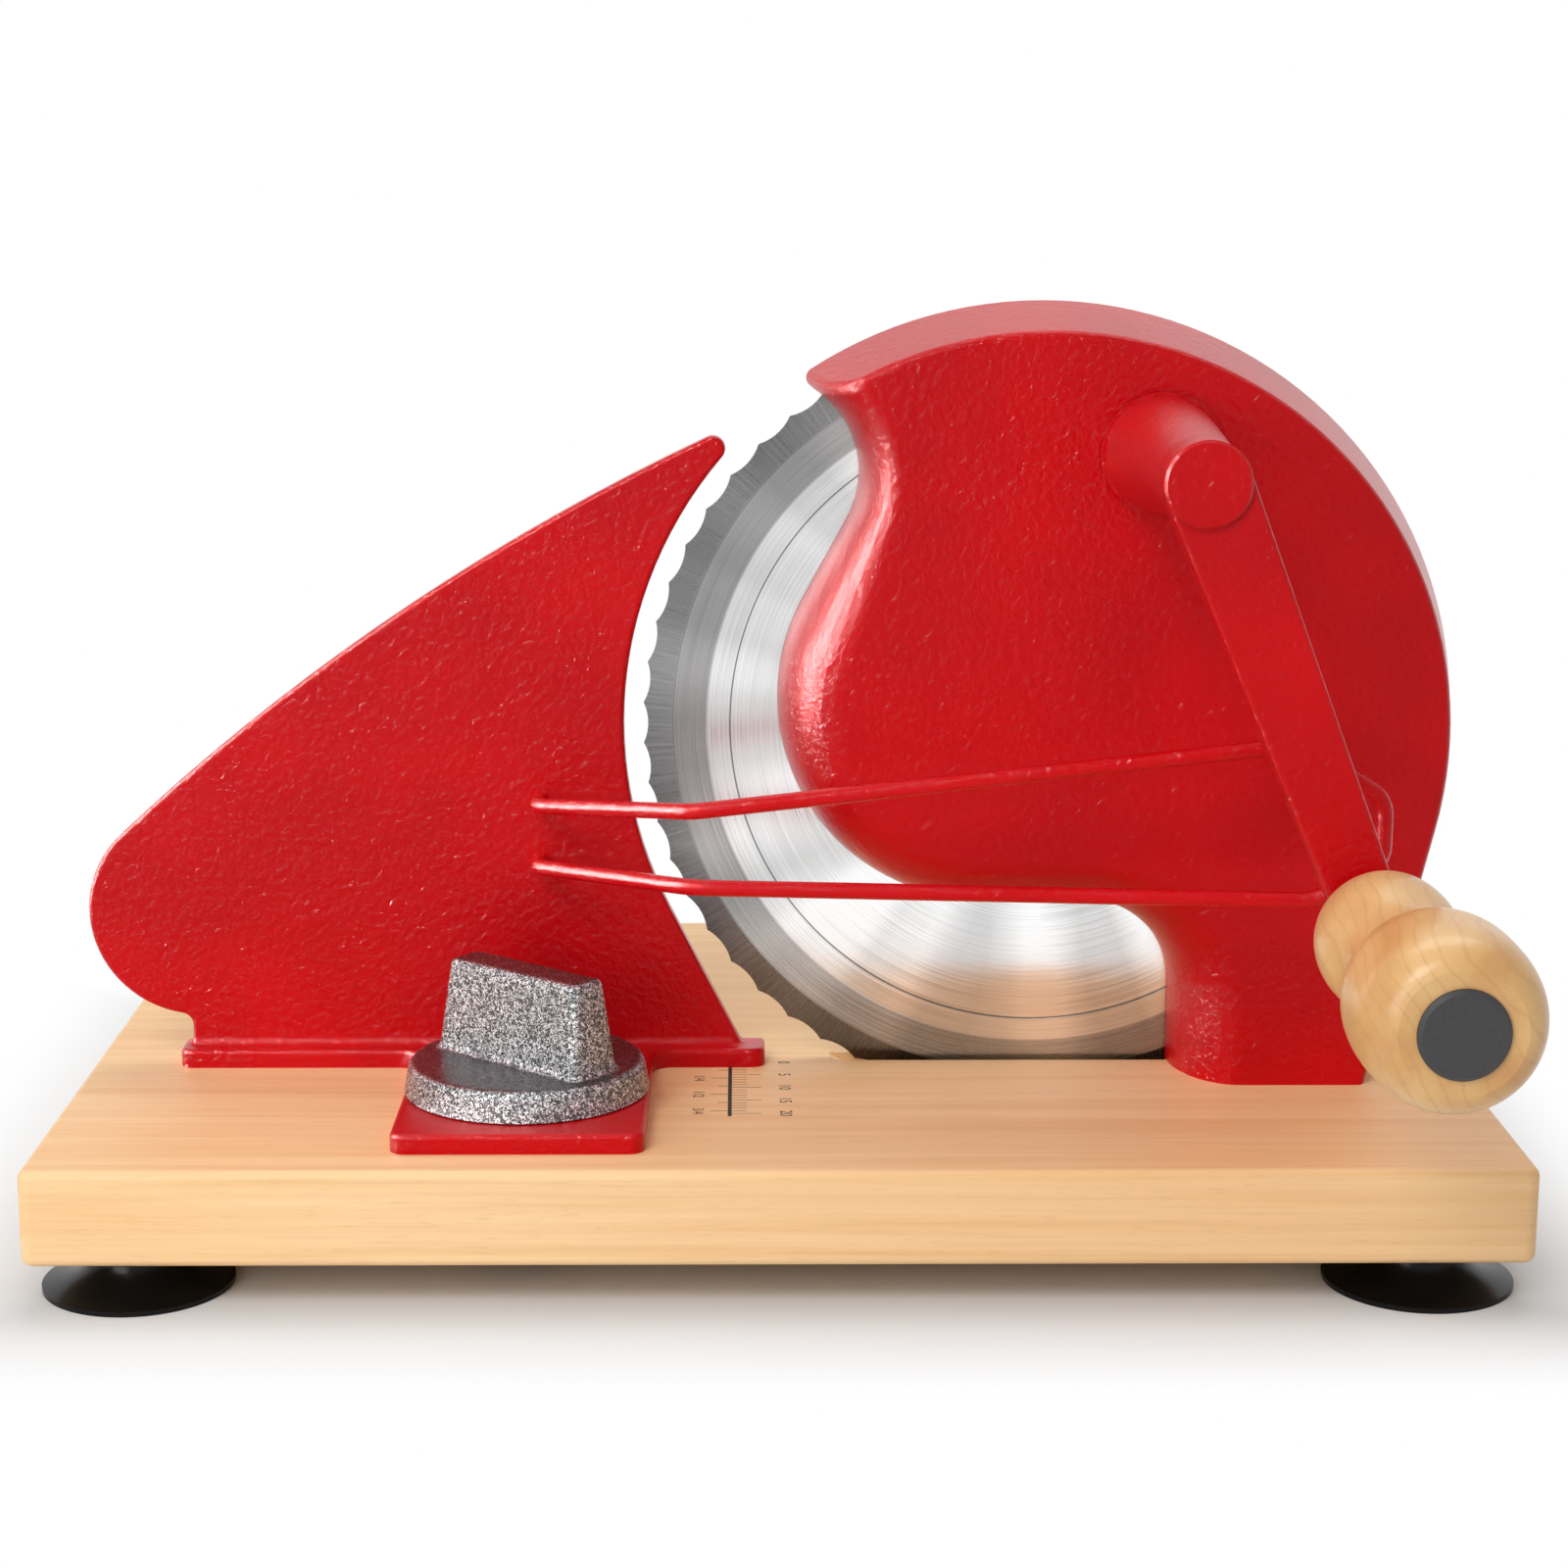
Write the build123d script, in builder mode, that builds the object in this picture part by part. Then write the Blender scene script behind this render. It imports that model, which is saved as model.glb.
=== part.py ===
"""Hand-cranked bread slicer: a round saw blade in a cast gear housing on a beech board.

Millimetres, +Z up, +X to the right and +Y away from the person who turns the crank. The loaf lies
behind the stop plate and is pushed to the right against the blade; slices come out in front.
The origin is on the table, under the middle of the whole machine.
"""
from math import acos, atan2, cos, degrees, hypot, pi, radians, sin, sqrt, tan
import os

from build123d import *

# ---------------------------------------------------------------- board and feet
board_length = 335.0
board_depth = 220.0
board_thickness = 22.0
board_edge_radius = 2.0
board_corner_radius = 3.0
foot_height = 10.0
foot_rim_radius = 21.5
foot_neck_radius = 10.5
foot_lip = 1.2
foot_cup_depth = 3.0
foot_seat_width = 2.0
foot_cup_slope = 0.4
foot_flare_slope = 0.2
foot_inset_x = 22.5
foot_inset_y = 18.0
foot_stud_radius = 2.5
foot_stud_length = 12.0
foot_stud_cover = 4.0

# ---------------------------------------------------------------- blade
blade_radius = 95.0
blade_thickness = 1.6
blade_edge_thickness = 0.35
blade_bevel_width = 7.0
blade_scallops = 60
blade_scallop_depth = 1.2
blade_ring_radius = 74.0
blade_ring_width = 0.5
blade_ring_depth = 0.3
blade_axis_right_inset = 105.0
blade_axis_height = 84.0
cutting_plane_inset = 87.0
blade_slot_clearance = 2.5
blade_side_clearance = 0.5

# ---------------------------------------------------------------- gear housing
housing_depth = 25.0
housing_rim_overhang = 1.5
housing_front_wall = 4.0
housing_wall = 3.5
rim_gap = 2.5
rim_draft = 6.0
rim_round = 1.5
border_width = 15.5
neck_border_share = 0.6
beak_radius = 2.4
border_steps = 9
rim_steps = 4
neck_radius = 23.3
neck_left_of_blade = 66.7
neck_above_blade = 60.7
bulge_radius = 49.4
bulge_left_of_blade = 13.3
bulge_above_blade = 6.8
housing_side_lean = 13.0
housing_foot_left_of_blade = -33.5
underside_radius = 22.0
housing_sole = 6.0
housing_screw_radius = 3.0
housing_screw_head_radius = 5.0
housing_screw_head_height = 4.0
screw_counterbore_depth = 8.0
housing_boss_radius = 7.5
housing_boss_height = 26.0
housing_screw_spacing = 20.0
housing_screw_reach = 22.0
hex_socket_radius = 2.9
axle_skin = 1.5

# ---------------------------------------------------------------- gear train
gear_module = 1.5
crank_teeth = 20
idler_teeth = 24
blade_gear_share = 0.316
pressure_angle = 20.0
tooth_root_depth = 1.25
tooth_overlap = 0.015
tooth_backlash = 0.25
gear_face_width = 8.0
gear_set_back = 11.0
crank_rim_inset = 29.0
crank_direction = 69.4

# ---------------------------------------------------------------- axles, bushes and hub
running_clearance = 0.05
end_play = 0.3
blade_axle_radius = 6.0
blade_axle_flange_radius = 10.0
hub_radius = 26.0
hub_spigot_radius = 12.0
hub_screw_circle = 19.0
hub_screw_count = 3
hub_screw_radius = 2.0
hub_screw_head_radius = 3.8
hub_screw_length = 8.0
retainer_radius = 9.0
retainer_thickness = 1.5
retainer_screw_radius = 2.5
retainer_head_radius = 5.0
retainer_head_height = 1.2
retainer_screw_length = 8.0
screw_slot_width = 1.2
idler_axle_radius = 4.0
idler_boss_radius = 8.0
shaft_radius = 6.0
bushing_wall = 2.5
bushing_flange_width = 2.5
bushing_flange_height = 1.5
bearing_boss_wall = 3.0
clip_thickness = 1.0
clip_width = 2.0
clip_groove = 0.8
axle_end_beyond_clip = 1.2
hub_bush_wall = 2.0
web_recess_depth = 3.0
web_inner_radius = 13.0
web_outer_radius = 25.0

# ---------------------------------------------------------------- crank
crank_radius = 103.0
crank_rest_angle = 22.3
crank_reach = 70.0
crank_hub_gap = 0.5
crank_hub_radius = 14.2
crank_hub_lip = 1.5
crank_hub_step = 0.8
crank_head_radius = 9.3
crank_end_radius = 6.8
crank_arm_thickness = 11.0
crank_arm_edge = 1.0
hub_cap_thickness = 1.6
hub_cap_plug = 2.0
hub_cap_edge = 0.6
arm_screw_radius = 2.5
arm_screw_head_radius = 4.5
arm_screw_head_height = 3.0
arm_screw_length = 14.0
arm_floor = 3.0

# ---------------------------------------------------------------- grip
grip_length = 77.0
grip_rear_radius = 15.2
grip_rear_end_radius = 10.0
grip_waist_radius = 12.0
grip_front_radius = 18.8
grip_front_end_radius = 12.5
grip_rear_crest = 12.0
grip_waist_from_back = 29.0
grip_front_crest = 57.0
grip_rear_slope = 0.25
grip_front_slope = 0.35
grip_gap = 0.4
spindle_radius = 4.0
spindle_head_radius = 6.5
spindle_head_height = 3.0
spindle_head_side_gap = 0.7
spindle_head_room = 2.0
spindle_nut_radius = 6.5
spindle_nut_thickness = 4.0
grip_cap_radius = 9.0
grip_cap_proud = 1.4
grip_cap_plug = 3.0
grip_cap_edge = 0.8

# ---------------------------------------------------------------- stop plate
plate_thickness = 5.0
plate_to_blade_gap = 4.5
plate_left_inset = 26.2
plate_left_radius = 26.0
plate_left_height = 37.9
plate_left_angle = 133.0
plate_notch_angle = 266.0
plate_notch_radius = 3.0
plate_tip_angle = 130.3
plate_tip_radius = 3.0
plate_lower_angle = 207.0
plate_fillet = 2.0
sole_thickness = 4.5
flange_depth = 10.0
flange_right_reach = 3.3713
flange_left_reach = 2.5
flange_corner_radius = 3.2
tab_width = 57.0
tab_front_inset = 12.0
tab_corner_radius = 3.5
tab_root_radius = 5.0
casting_edge = 1.2
stop_travel = 20.0
slot_clearance = 0.3
key_width = 4.0
key_height = 3.0
key_length = 20.0
key_spacing = 40.0
key_clearance = 0.4
key_inset = 34.0

# ---------------------------------------------------------------- clamping knob
knob_left_inset = 108.6
knob_front_inset = 47.5
knob_radius = 28.6
knob_disc_height = 7.0
knob_disc_taper = 10.0
knob_height = 28.6
knob_fin_thickness = 15.0
knob_fin_top_thickness = 10.0
knob_fin_top_length = 41.0
knob_fin_foot_length = 46.0
knob_fin_turn = -40.0
knob_edge = 2.0
knob_lift = 0.3
stud_radius = 4.0
stud_sink = 8.0
nut_size = 18.0
nut_thickness = 5.0
nut_corner = 1.0
nut_channel_depth = 7.0
nut_lift = 0.3

# ---------------------------------------------------------------- wire guard
wire_radius = 1.9
guard_stand_off = 42.0
guard_hole_left_inset = 110.0
guard_upper_height = 65.8
guard_lower_height = 50.8
guard_bend_run = 37.5
guard_bend_upper_height = 72.0
guard_bend_lower_height = 54.3
guard_far_upper_right_of_blade = 55.5
guard_far_upper_height = 87.6
guard_far_lower_right_of_blade = 59.5
guard_far_lower_height = 51.2
guard_tip_right_of_blade = 75.5
guard_tip_upper_height = 75.0
guard_tip_lower_height = 60.0
guard_bend_radius = 9.0
guard_root_run = 7.0
guard_root_radius = 4.5
guard_tip_radius = 7.0
guard_sink = 3.0

# ---------------------------------------------------------------- places worked out from the sizes
board_top = foot_height + board_thickness
cap_front_from_board = cutting_plane_inset - housing_depth - crank_reach
arm_front_from_board = cap_front_from_board + hub_cap_thickness
grip_front_from_board = arm_front_from_board - grip_gap - grip_length - grip_cap_proud
board_front = -(board_depth + grip_front_from_board) / 2
board_left = -board_length / 2
board_middle = board_front + board_depth / 2

cutting_plane = board_front + cutting_plane_inset
blade_front = cutting_plane - blade_thickness
housing_front = cutting_plane - housing_depth
housing_back = cutting_plane + housing_rim_overhang
border_back = blade_front - blade_side_clearance
wall_back = housing_front + housing_front_wall
gear_front = housing_front + gear_set_back
gear_back = gear_front + gear_face_width
hub_back = blade_front

axis_x = board_length / 2 - blade_axis_right_inset
axis_z = board_top + blade_axis_height
rim_radius = blade_radius + rim_gap + housing_wall
blade_teeth = round(2 * blade_gear_share * blade_radius / gear_module)
crank_offset = rim_radius - crank_rim_inset
crank_x = axis_x + crank_offset * cos(radians(crank_direction))
crank_z = axis_z + crank_offset * sin(radians(crank_direction))
crank_pitch = gear_module * crank_teeth / 2
idler_pitch = gear_module * idler_teeth / 2
blade_pitch = gear_module * blade_teeth / 2
idler_to_crank = crank_pitch + idler_pitch
idler_to_blade = blade_pitch + idler_pitch
idler_angle = degrees(acos((crank_offset**2 + idler_to_blade**2 - idler_to_crank**2)
                           / (2 * crank_offset * idler_to_blade)))
idler_direction = crank_direction - idler_angle
idler_x = axis_x + idler_to_blade * cos(radians(idler_direction))
idler_z = axis_z + idler_to_blade * sin(radians(idler_direction))

arm_front = board_front + arm_front_from_board
arm_back = arm_front + crank_arm_thickness
grip_x = crank_x + crank_radius * sin(radians(crank_rest_angle))
grip_z = crank_z - crank_radius * cos(radians(crank_rest_angle))
grip_back = arm_front - grip_gap
grip_front = grip_back - grip_length

flange_front = cutting_plane - flange_depth
tab_front = board_front + tab_front_inset
plate_front = cutting_plane - plate_thickness
knob_x = board_left + knob_left_inset
knob_y = board_front + knob_front_inset
knob_base = board_top + sole_thickness + knob_lift

os.makedirs("parts", exist_ok=True)


# ---------------------------------------------------------------- helpers
def facing(y):
    """Upright plane at depth y, seen from the front: local x is X and local y is Z."""
    return Plane.XZ.offset(-y)


def lathe(x, z):
    """Plane for a profile turned about the Y line through (x, z): local x is radius, local y is Y."""
    return Plane(origin=(x, 0, z), x_dir=(1, 0, 0), z_dir=(0, 0, 1))


def y_axis(x, z):
    return Axis((x, 0, z), (0, 1, 0))


def post(x, y):
    """Plane for a profile turned about the Z line through (x, y): local x is radius, local y is Z."""
    return Plane(origin=(x, y, 0), x_dir=(1, 0, 0), z_dir=(0, -1, 0))


def z_axis(x, y):
    return Axis((x, y, 0), (0, 0, 1))


def outline(plane, *points):
    with BuildSketch(plane) as section:
        with BuildLine():
            Polyline(*points, close=True)
        make_face()
    return section.sketch


def on_circle(centre, radius, angle):
    return (centre[0] + radius * cos(radians(angle)), centre[1] + radius * sin(radians(angle)))


def finish(part, label):
    part.label = label
    export_step(part, f"parts/{label}.step")


# ---------------------------------------------------------------- board
foot_x = board_length / 2 - foot_inset_x
foot_rows = (board_front + foot_inset_y, board_front + board_depth - foot_inset_y)
foot_centres = [(side * foot_x, y) for y in foot_rows for side in (-1, 1)]
blade_slot_radius = blade_radius + blade_slot_clearance
sole_right_x = axis_x + (rim_radius - blade_axis_height * sin(radians(housing_side_lean))) / cos(
    radians(housing_side_lean))
sole_left_x = axis_x - housing_foot_left_of_blade
screw_centre_x = (sole_left_x + border_width / 2 + sole_right_x - rim_draft) / 2
screw_y = (wall_back + border_back) / 2
housing_screw_places = [(screw_centre_x + side * housing_screw_spacing / 2, screw_y) for side in (-1, 1)]
key_start = tab_front + key_inset
nut_channel_top = foot_height + nut_channel_depth

with BuildPart() as board:
    with Locations((0, board_middle, foot_height)):
        Box(board_length, board_depth, board_thickness, align=(Align.CENTER, Align.CENTER, Align.MIN))
    fillet(board.edges().filter_by(Axis.Z), radius=board_corner_radius)
    fillet(board.faces().sort_by(Axis.Z)[-1].edges(), radius=board_edge_radius)
    fillet(board.faces().sort_by(Axis.Z)[0].edges(), radius=board_edge_radius)
    with BuildSketch(facing(blade_front - blade_slot_clearance)):
        with Locations((axis_x, axis_z)):
            Circle(blade_slot_radius)
    extrude(amount=-(blade_thickness + 2 * blade_slot_clearance), mode=Mode.SUBTRACT)
    with BuildSketch(Plane.XY.offset(foot_height)):
        with Locations((knob_x, knob_y - stop_travel / 2)):
            SlotCenterToCenter(stop_travel, 2 * (stud_radius + slot_clearance), rotation=90)
    extrude(amount=board_thickness, mode=Mode.SUBTRACT)
    with Locations((knob_x, knob_y - stop_travel / 2, foot_height)):
        Box(nut_size + 2 * slot_clearance, nut_size + stop_travel + 2 * slot_clearance, nut_channel_depth,
            align=(Align.CENTER, Align.CENTER, Align.MIN), mode=Mode.SUBTRACT)
    groove_length = key_length + stop_travel + 2 * key_clearance
    groove_start = key_start - stop_travel - key_clearance
    for side in (-1, 1):
        with Locations((knob_x + side * key_spacing / 2, groove_start, board_top)):
            Box(key_width + 2 * key_clearance, groove_length, key_height + key_clearance,
                align=(Align.CENTER, Align.MIN, Align.MAX), mode=Mode.SUBTRACT)
    with Locations(*[(x, y, foot_height) for x, y in foot_centres]):
        Cylinder(foot_stud_radius, foot_stud_length, align=(Align.CENTER, Align.CENTER, Align.MIN),
                 mode=Mode.SUBTRACT)
    for x, y in housing_screw_places:
        with Locations((x, y, foot_height)):
            Cylinder(housing_screw_head_radius + slot_clearance, screw_counterbore_depth,
                     align=(Align.CENTER, Align.CENTER, Align.MIN), mode=Mode.SUBTRACT)
            Cylinder(housing_screw_radius + slot_clearance, board_thickness,
                     align=(Align.CENTER, Align.CENTER, Align.MIN), mode=Mode.SUBTRACT)
finish(board.part, "board")

# ---------------------------------------------------------------- suction feet and their studs
foot_names = ("foot_front_left", "foot_front_right", "foot_rear_left", "foot_rear_right")
stud_bottom = foot_height - foot_stud_cover
for foot_name, (x, y) in zip(foot_names, foot_centres):
    with BuildPart() as foot:
        with BuildSketch(post(x, y)) as half:
            with BuildLine():
                cup = Line((0, foot_cup_depth), (foot_neck_radius / 2, foot_cup_depth))
                hollow = Spline(cup @ 1, (foot_rim_radius - foot_seat_width, 0),
                                tangents=[(1, 0), (1, -foot_cup_slope)])
                seat = Line(hollow @ 1, (foot_rim_radius, 0))
                lip = Line(seat @ 1, (foot_rim_radius, foot_lip))
                flare = Spline(lip @ 1, (foot_neck_radius, foot_height),
                               tangents=[(-1, foot_flare_slope), (0, 1)])
                Polyline(flare @ 1, (0, foot_height), (0, foot_cup_depth))
            make_face()
        revolve(axis=z_axis(x, y))
        with Locations((x, y, stud_bottom)):
            Cylinder(foot_stud_radius, foot_stud_cover, align=(Align.CENTER, Align.CENTER, Align.MIN),
                     mode=Mode.SUBTRACT)
    finish(foot.part, foot_name)

with BuildPart() as foot_studs:
    with Locations(*[(x, y, stud_bottom) for x, y in foot_centres]):
        Cylinder(foot_stud_radius, foot_stud_cover + foot_stud_length,
                 align=(Align.CENTER, Align.CENTER, Align.MIN))
finish(foot_studs.part, "foot_studs")


# ---------------------------------------------------------------- gear housing
# The outline is a row of arcs and straight runs. Moved inwards it keeps its arc centres, so the
# rim and the border can be drawn in by different amounts and still meet.
neck_centre = (axis_x - neck_left_of_blade, axis_z + neck_above_blade)
bulge_centre = (axis_x - bulge_left_of_blade, axis_z + bulge_above_blade)


def housing_outline(depth, rim_inset, border_inset, wall, sole):
    """Outline of the housing at one depth, drawn in by rim_inset, border_inset and the wall."""
    rim = rim_radius - rim_inset - wall
    neck = neck_radius + neck_border_share * border_inset + wall
    bulge = bulge_radius - border_inset - wall
    axis = (axis_x, axis_z)
    side_top = on_circle(axis, rim, -housing_side_lean)
    floor_z = board_top + sole
    side_foot = (side_top[0] - (side_top[1] - floor_z) * tan(radians(housing_side_lean)), floor_z)
    inner_x = sole_left_x + border_inset + wall
    under_z = bulge_centre[1] - bulge
    under_r = underside_radius + border_inset + wall
    under_centre = (inner_x - under_r, under_z - under_r)
    span = (neck_centre[0] - bulge_centre[0], neck_centre[1] - bulge_centre[1])
    lean = degrees(atan2(span[1], span[0])) + degrees(acos((bulge + neck) / hypot(*span)))
    bulge_top = on_circle(bulge_centre, bulge, lean)
    neck_bottom = on_circle(neck_centre, neck, lean + 180)
    reach = (axis_x - neck_centre[0], axis_z - neck_centre[1])
    apart = hypot(*reach)
    tip_angle = degrees(atan2(reach[1], reach[0])) + degrees(
        acos((apart**2 + neck**2 - rim**2) / (2 * apart * neck)))
    tip = on_circle(neck_centre, neck, tip_angle)
    tip_on_rim = degrees(atan2(tip[1] - axis_z, tip[0] - axis_x))
    with BuildSketch(facing(depth)) as section:
        with BuildLine():
            Line(side_foot, (inner_x, floor_z))
            Line((inner_x, floor_z), (inner_x, under_centre[1]))
            ThreePointArc((inner_x, under_centre[1]), on_circle(under_centre, under_r, 45),
                          (under_centre[0], under_z))
            Line((under_centre[0], under_z), (bulge_centre[0], under_z))
            ThreePointArc((bulge_centre[0], under_z), on_circle(bulge_centre, bulge, (lean + 270) / 2),
                          bulge_top)
            Line(bulge_top, neck_bottom)
            ThreePointArc(neck_bottom, on_circle(neck_centre, neck, (lean - 180 + tip_angle) / 2), tip)
            ThreePointArc(tip, on_circle(axis, rim, (tip_on_rim - housing_side_lean) / 2), side_top)
            Line(side_top, side_foot)
        make_face()
        fillet(section.vertices().sort_by(lambda spot: hypot(spot.X - tip[0], spot.Y - tip[1]))[0],
               radius=beak_radius)
    return section.sketch


def rim_inset_at(depth):
    """Cast draft of the rim wall, and the round where it meets the flat front."""
    draft = rim_draft * (housing_back - depth) / (housing_back - housing_front)
    turn = max(0.0, min(1.0, (housing_front + rim_round - depth) / rim_round))
    return draft + rim_round * (1 - sqrt(1 - turn**2))


def border_inset_at(depth, front):
    """Quarter ellipse from the edge beside the blade round to the flat front."""
    turn = max(0.0, min(1.0, (border_back - depth) / (border_back - front)))
    return border_width * (1 - sqrt(1 - turn**2))


def border_depths(front):
    turns = [sin(pi / 2 * step / border_steps) for step in range(1, border_steps + 1)]
    return [border_back - (border_back - front) * turn for turn in turns]


rim_depths = [housing_front + rim_round * (1 - sin(pi / 2 * step / rim_steps))
              for step in range(rim_steps)]
outer_depths = [housing_back, border_back] + sorted(border_depths(housing_front) + rim_depths, reverse=True)
inner_depths = [housing_back, border_back] + border_depths(wall_back)

bushing_radius = shaft_radius + bushing_wall
bearing_boss_radius = bushing_radius + bearing_boss_wall
bearing_back = gear_front - end_play - bushing_flange_height
idler_boss_back = gear_front - end_play
axle_boss_radius = blade_axle_flange_radius + bearing_boss_wall
axle_flange_back = gear_front - end_play
axle_boss_back = axle_flange_back - bushing_flange_height
boss_floor = board_top + housing_sole

with BuildPart() as gear_housing:
    loft([housing_outline(depth, rim_inset_at(depth), border_inset_at(depth, housing_front), 0, 0)
          for depth in outer_depths], ruled=True)
    hollow = [housing_outline(depth, rim_inset_at(depth), border_inset_at(depth, wall_back), housing_wall,
                              housing_sole) for depth in inner_depths]
    loft(hollow, ruled=True, mode=Mode.SUBTRACT)
    with BuildSketch(facing(border_back)):
        with Locations((axis_x, axis_z)):
            Circle(blade_radius + rim_gap)
    extrude(amount=-(housing_back - border_back), mode=Mode.SUBTRACT)
    for x, z, radius, back in ((axis_x, axis_z, axle_boss_radius, axle_boss_back),
                               (crank_x, crank_z, bearing_boss_radius, bearing_back),
                               (idler_x, idler_z, idler_boss_radius, idler_boss_back)):
        with BuildSketch(facing(wall_back)):
            with Locations((x, z)):
                Circle(radius)
        extrude(amount=-(back - wall_back))
    for x, z, radius, front, back in (
            (axis_x, axis_z, blade_axle_radius, housing_front + axle_skin, axle_boss_back),
            (crank_x, crank_z, bushing_radius, housing_front, bearing_back),
            (idler_x, idler_z, idler_axle_radius, housing_front + axle_skin, idler_boss_back)):
        with BuildSketch(facing(front)):
            with Locations((x, z)):
                Circle(radius)
        extrude(amount=-(back - front), mode=Mode.SUBTRACT)
    with Locations(*[(x, y, boss_floor) for x, y in housing_screw_places]):
        Cylinder(housing_boss_radius, housing_boss_height, align=(Align.CENTER, Align.CENTER, Align.MIN))
    with Locations(*[(x, y, board_top) for x, y in housing_screw_places]):
        Cylinder(housing_screw_radius, housing_screw_reach, align=(Align.CENTER, Align.CENTER, Align.MIN),
                 mode=Mode.SUBTRACT)
finish(gear_housing.part, "gear_housing")

screw_head_z = foot_height + screw_counterbore_depth
with BuildPart() as housing_screws:
    with Locations(*[(x, y, screw_head_z) for x, y in housing_screw_places]):
        Cylinder(housing_screw_head_radius, housing_screw_head_height,
                 align=(Align.CENTER, Align.CENTER, Align.MAX))
        Cylinder(housing_screw_radius, board_top + housing_screw_reach - screw_head_z,
                 align=(Align.CENTER, Align.CENTER, Align.MIN))
    with BuildSketch(Plane.XY.offset(screw_head_z - housing_screw_head_height)):
        with Locations(*housing_screw_places):
            RegularPolygon(hex_socket_radius, 6)
    extrude(amount=housing_screw_head_height / 2, mode=Mode.SUBTRACT)
finish(housing_screws.part, "housing_screws")


# ---------------------------------------------------------------- gears
def involute(radius, base):
    return sqrt((radius / base)**2 - 1) - acos(base / radius)


def gear_outline(y, x, z, teeth, phase):
    """Spur gear with involute flanks; one tooth is centred on the direction phase."""
    pitch = gear_module * teeth / 2
    base = pitch * cos(radians(pressure_angle))
    tip = pitch + gear_module
    root = pitch - tooth_root_depth * gear_module
    flank_start = max(base, root)
    half_pitch = (pi * gear_module / 2 - tooth_backlash) / (2 * pitch)

    def half_angle(radius):
        return degrees(half_pitch + involute(pitch, base) - involute(radius, base))

    def spot(radius, angle):
        return on_circle((x, z), radius, angle)

    with BuildSketch(facing(y)) as section:
        with BuildLine():
            for tooth in range(teeth):
                middle = phase + tooth * 360 / teeth
                sides = []
                for side in (-1, 1):
                    foot_angle = middle + side * half_angle(flank_start)
                    low = spot(root - tooth_overlap, foot_angle)
                    start = spot(flank_start, foot_angle)
                    through = spot(pitch, middle + side * half_angle(pitch))
                    end = spot(tip, middle + side * half_angle(tip))
                    Line(low, start)
                    ThreePointArc(start, through, end)
                    sides.append((low, end))
                Line(sides[0][1], sides[1][1])
                next_low = spot(root - tooth_overlap, middle + 360 / teeth - half_angle(flank_start))
                Line(sides[1][0], next_low)
        make_face()
    return section.sketch


crank_to_idler = degrees(atan2(idler_z - crank_z, idler_x - crank_x))
crank_phase = crank_to_idler
idler_phase = crank_to_idler + 180 + 180 / idler_teeth
idler_to_blade_direction = idler_direction + 180
idler_lead = (idler_phase - idler_to_blade_direction) % (360 / idler_teeth)
blade_phase = idler_direction - idler_lead * idler_teeth / blade_teeth + 180 / blade_teeth

# ---------------------------------------------------------------- blade axle and what holds the blade on it
head_back = cutting_plane - end_play
washer_back = head_back - retainer_head_height
axle_end = washer_back - retainer_thickness
hub_pocket_floor = axle_end - end_play
hub_bush_radius = blade_axle_radius + hub_bush_wall
pocket_radius = retainer_radius + end_play
axle_front = housing_front + axle_skin

with BuildPart() as blade_axle:
    revolve(outline(lathe(axis_x, axis_z), (0, axle_front), (blade_axle_radius, axle_front),
                    (blade_axle_radius, axle_boss_back), (blade_axle_flange_radius, axle_boss_back),
                    (blade_axle_flange_radius, axle_flange_back), (blade_axle_radius, axle_flange_back),
                    (blade_axle_radius, axle_end), (retainer_screw_radius, axle_end),
                    (retainer_screw_radius, axle_end - retainer_screw_length),
                    (0, axle_end - retainer_screw_length)), axis=y_axis(axis_x, axis_z))
finish(blade_axle.part, "blade_axle")

with BuildPart() as retainer_washer:
    revolve(outline(lathe(axis_x, axis_z), (retainer_screw_radius, axle_end), (retainer_radius, axle_end),
                    (retainer_radius, washer_back), (retainer_screw_radius, washer_back)),
            axis=y_axis(axis_x, axis_z))
finish(retainer_washer.part, "retainer_washer")

with BuildPart() as retainer_screw:
    revolve(outline(lathe(axis_x, axis_z), (0, axle_end - retainer_screw_length),
                    (retainer_screw_radius, axle_end - retainer_screw_length),
                    (retainer_screw_radius, washer_back), (retainer_head_radius, washer_back),
                    (retainer_head_radius, head_back), (0, head_back)), axis=y_axis(axis_x, axis_z))
    with BuildSketch(facing(head_back)):
        with Locations((axis_x, axis_z)):
            Rectangle(2 * retainer_head_radius, screw_slot_width)
    extrude(amount=retainer_head_height / 2, mode=Mode.SUBTRACT)
finish(retainer_screw.part, "retainer_screw")

with BuildPart() as blade_bushing:
    revolve(outline(lathe(axis_x, axis_z), (blade_axle_radius + running_clearance, gear_front),
                    (hub_bush_radius, gear_front), (hub_bush_radius, hub_pocket_floor),
                    (blade_axle_radius + running_clearance, hub_pocket_floor)),
            axis=y_axis(axis_x, axis_z))
finish(blade_bushing.part, "blade_bushing")

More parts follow.
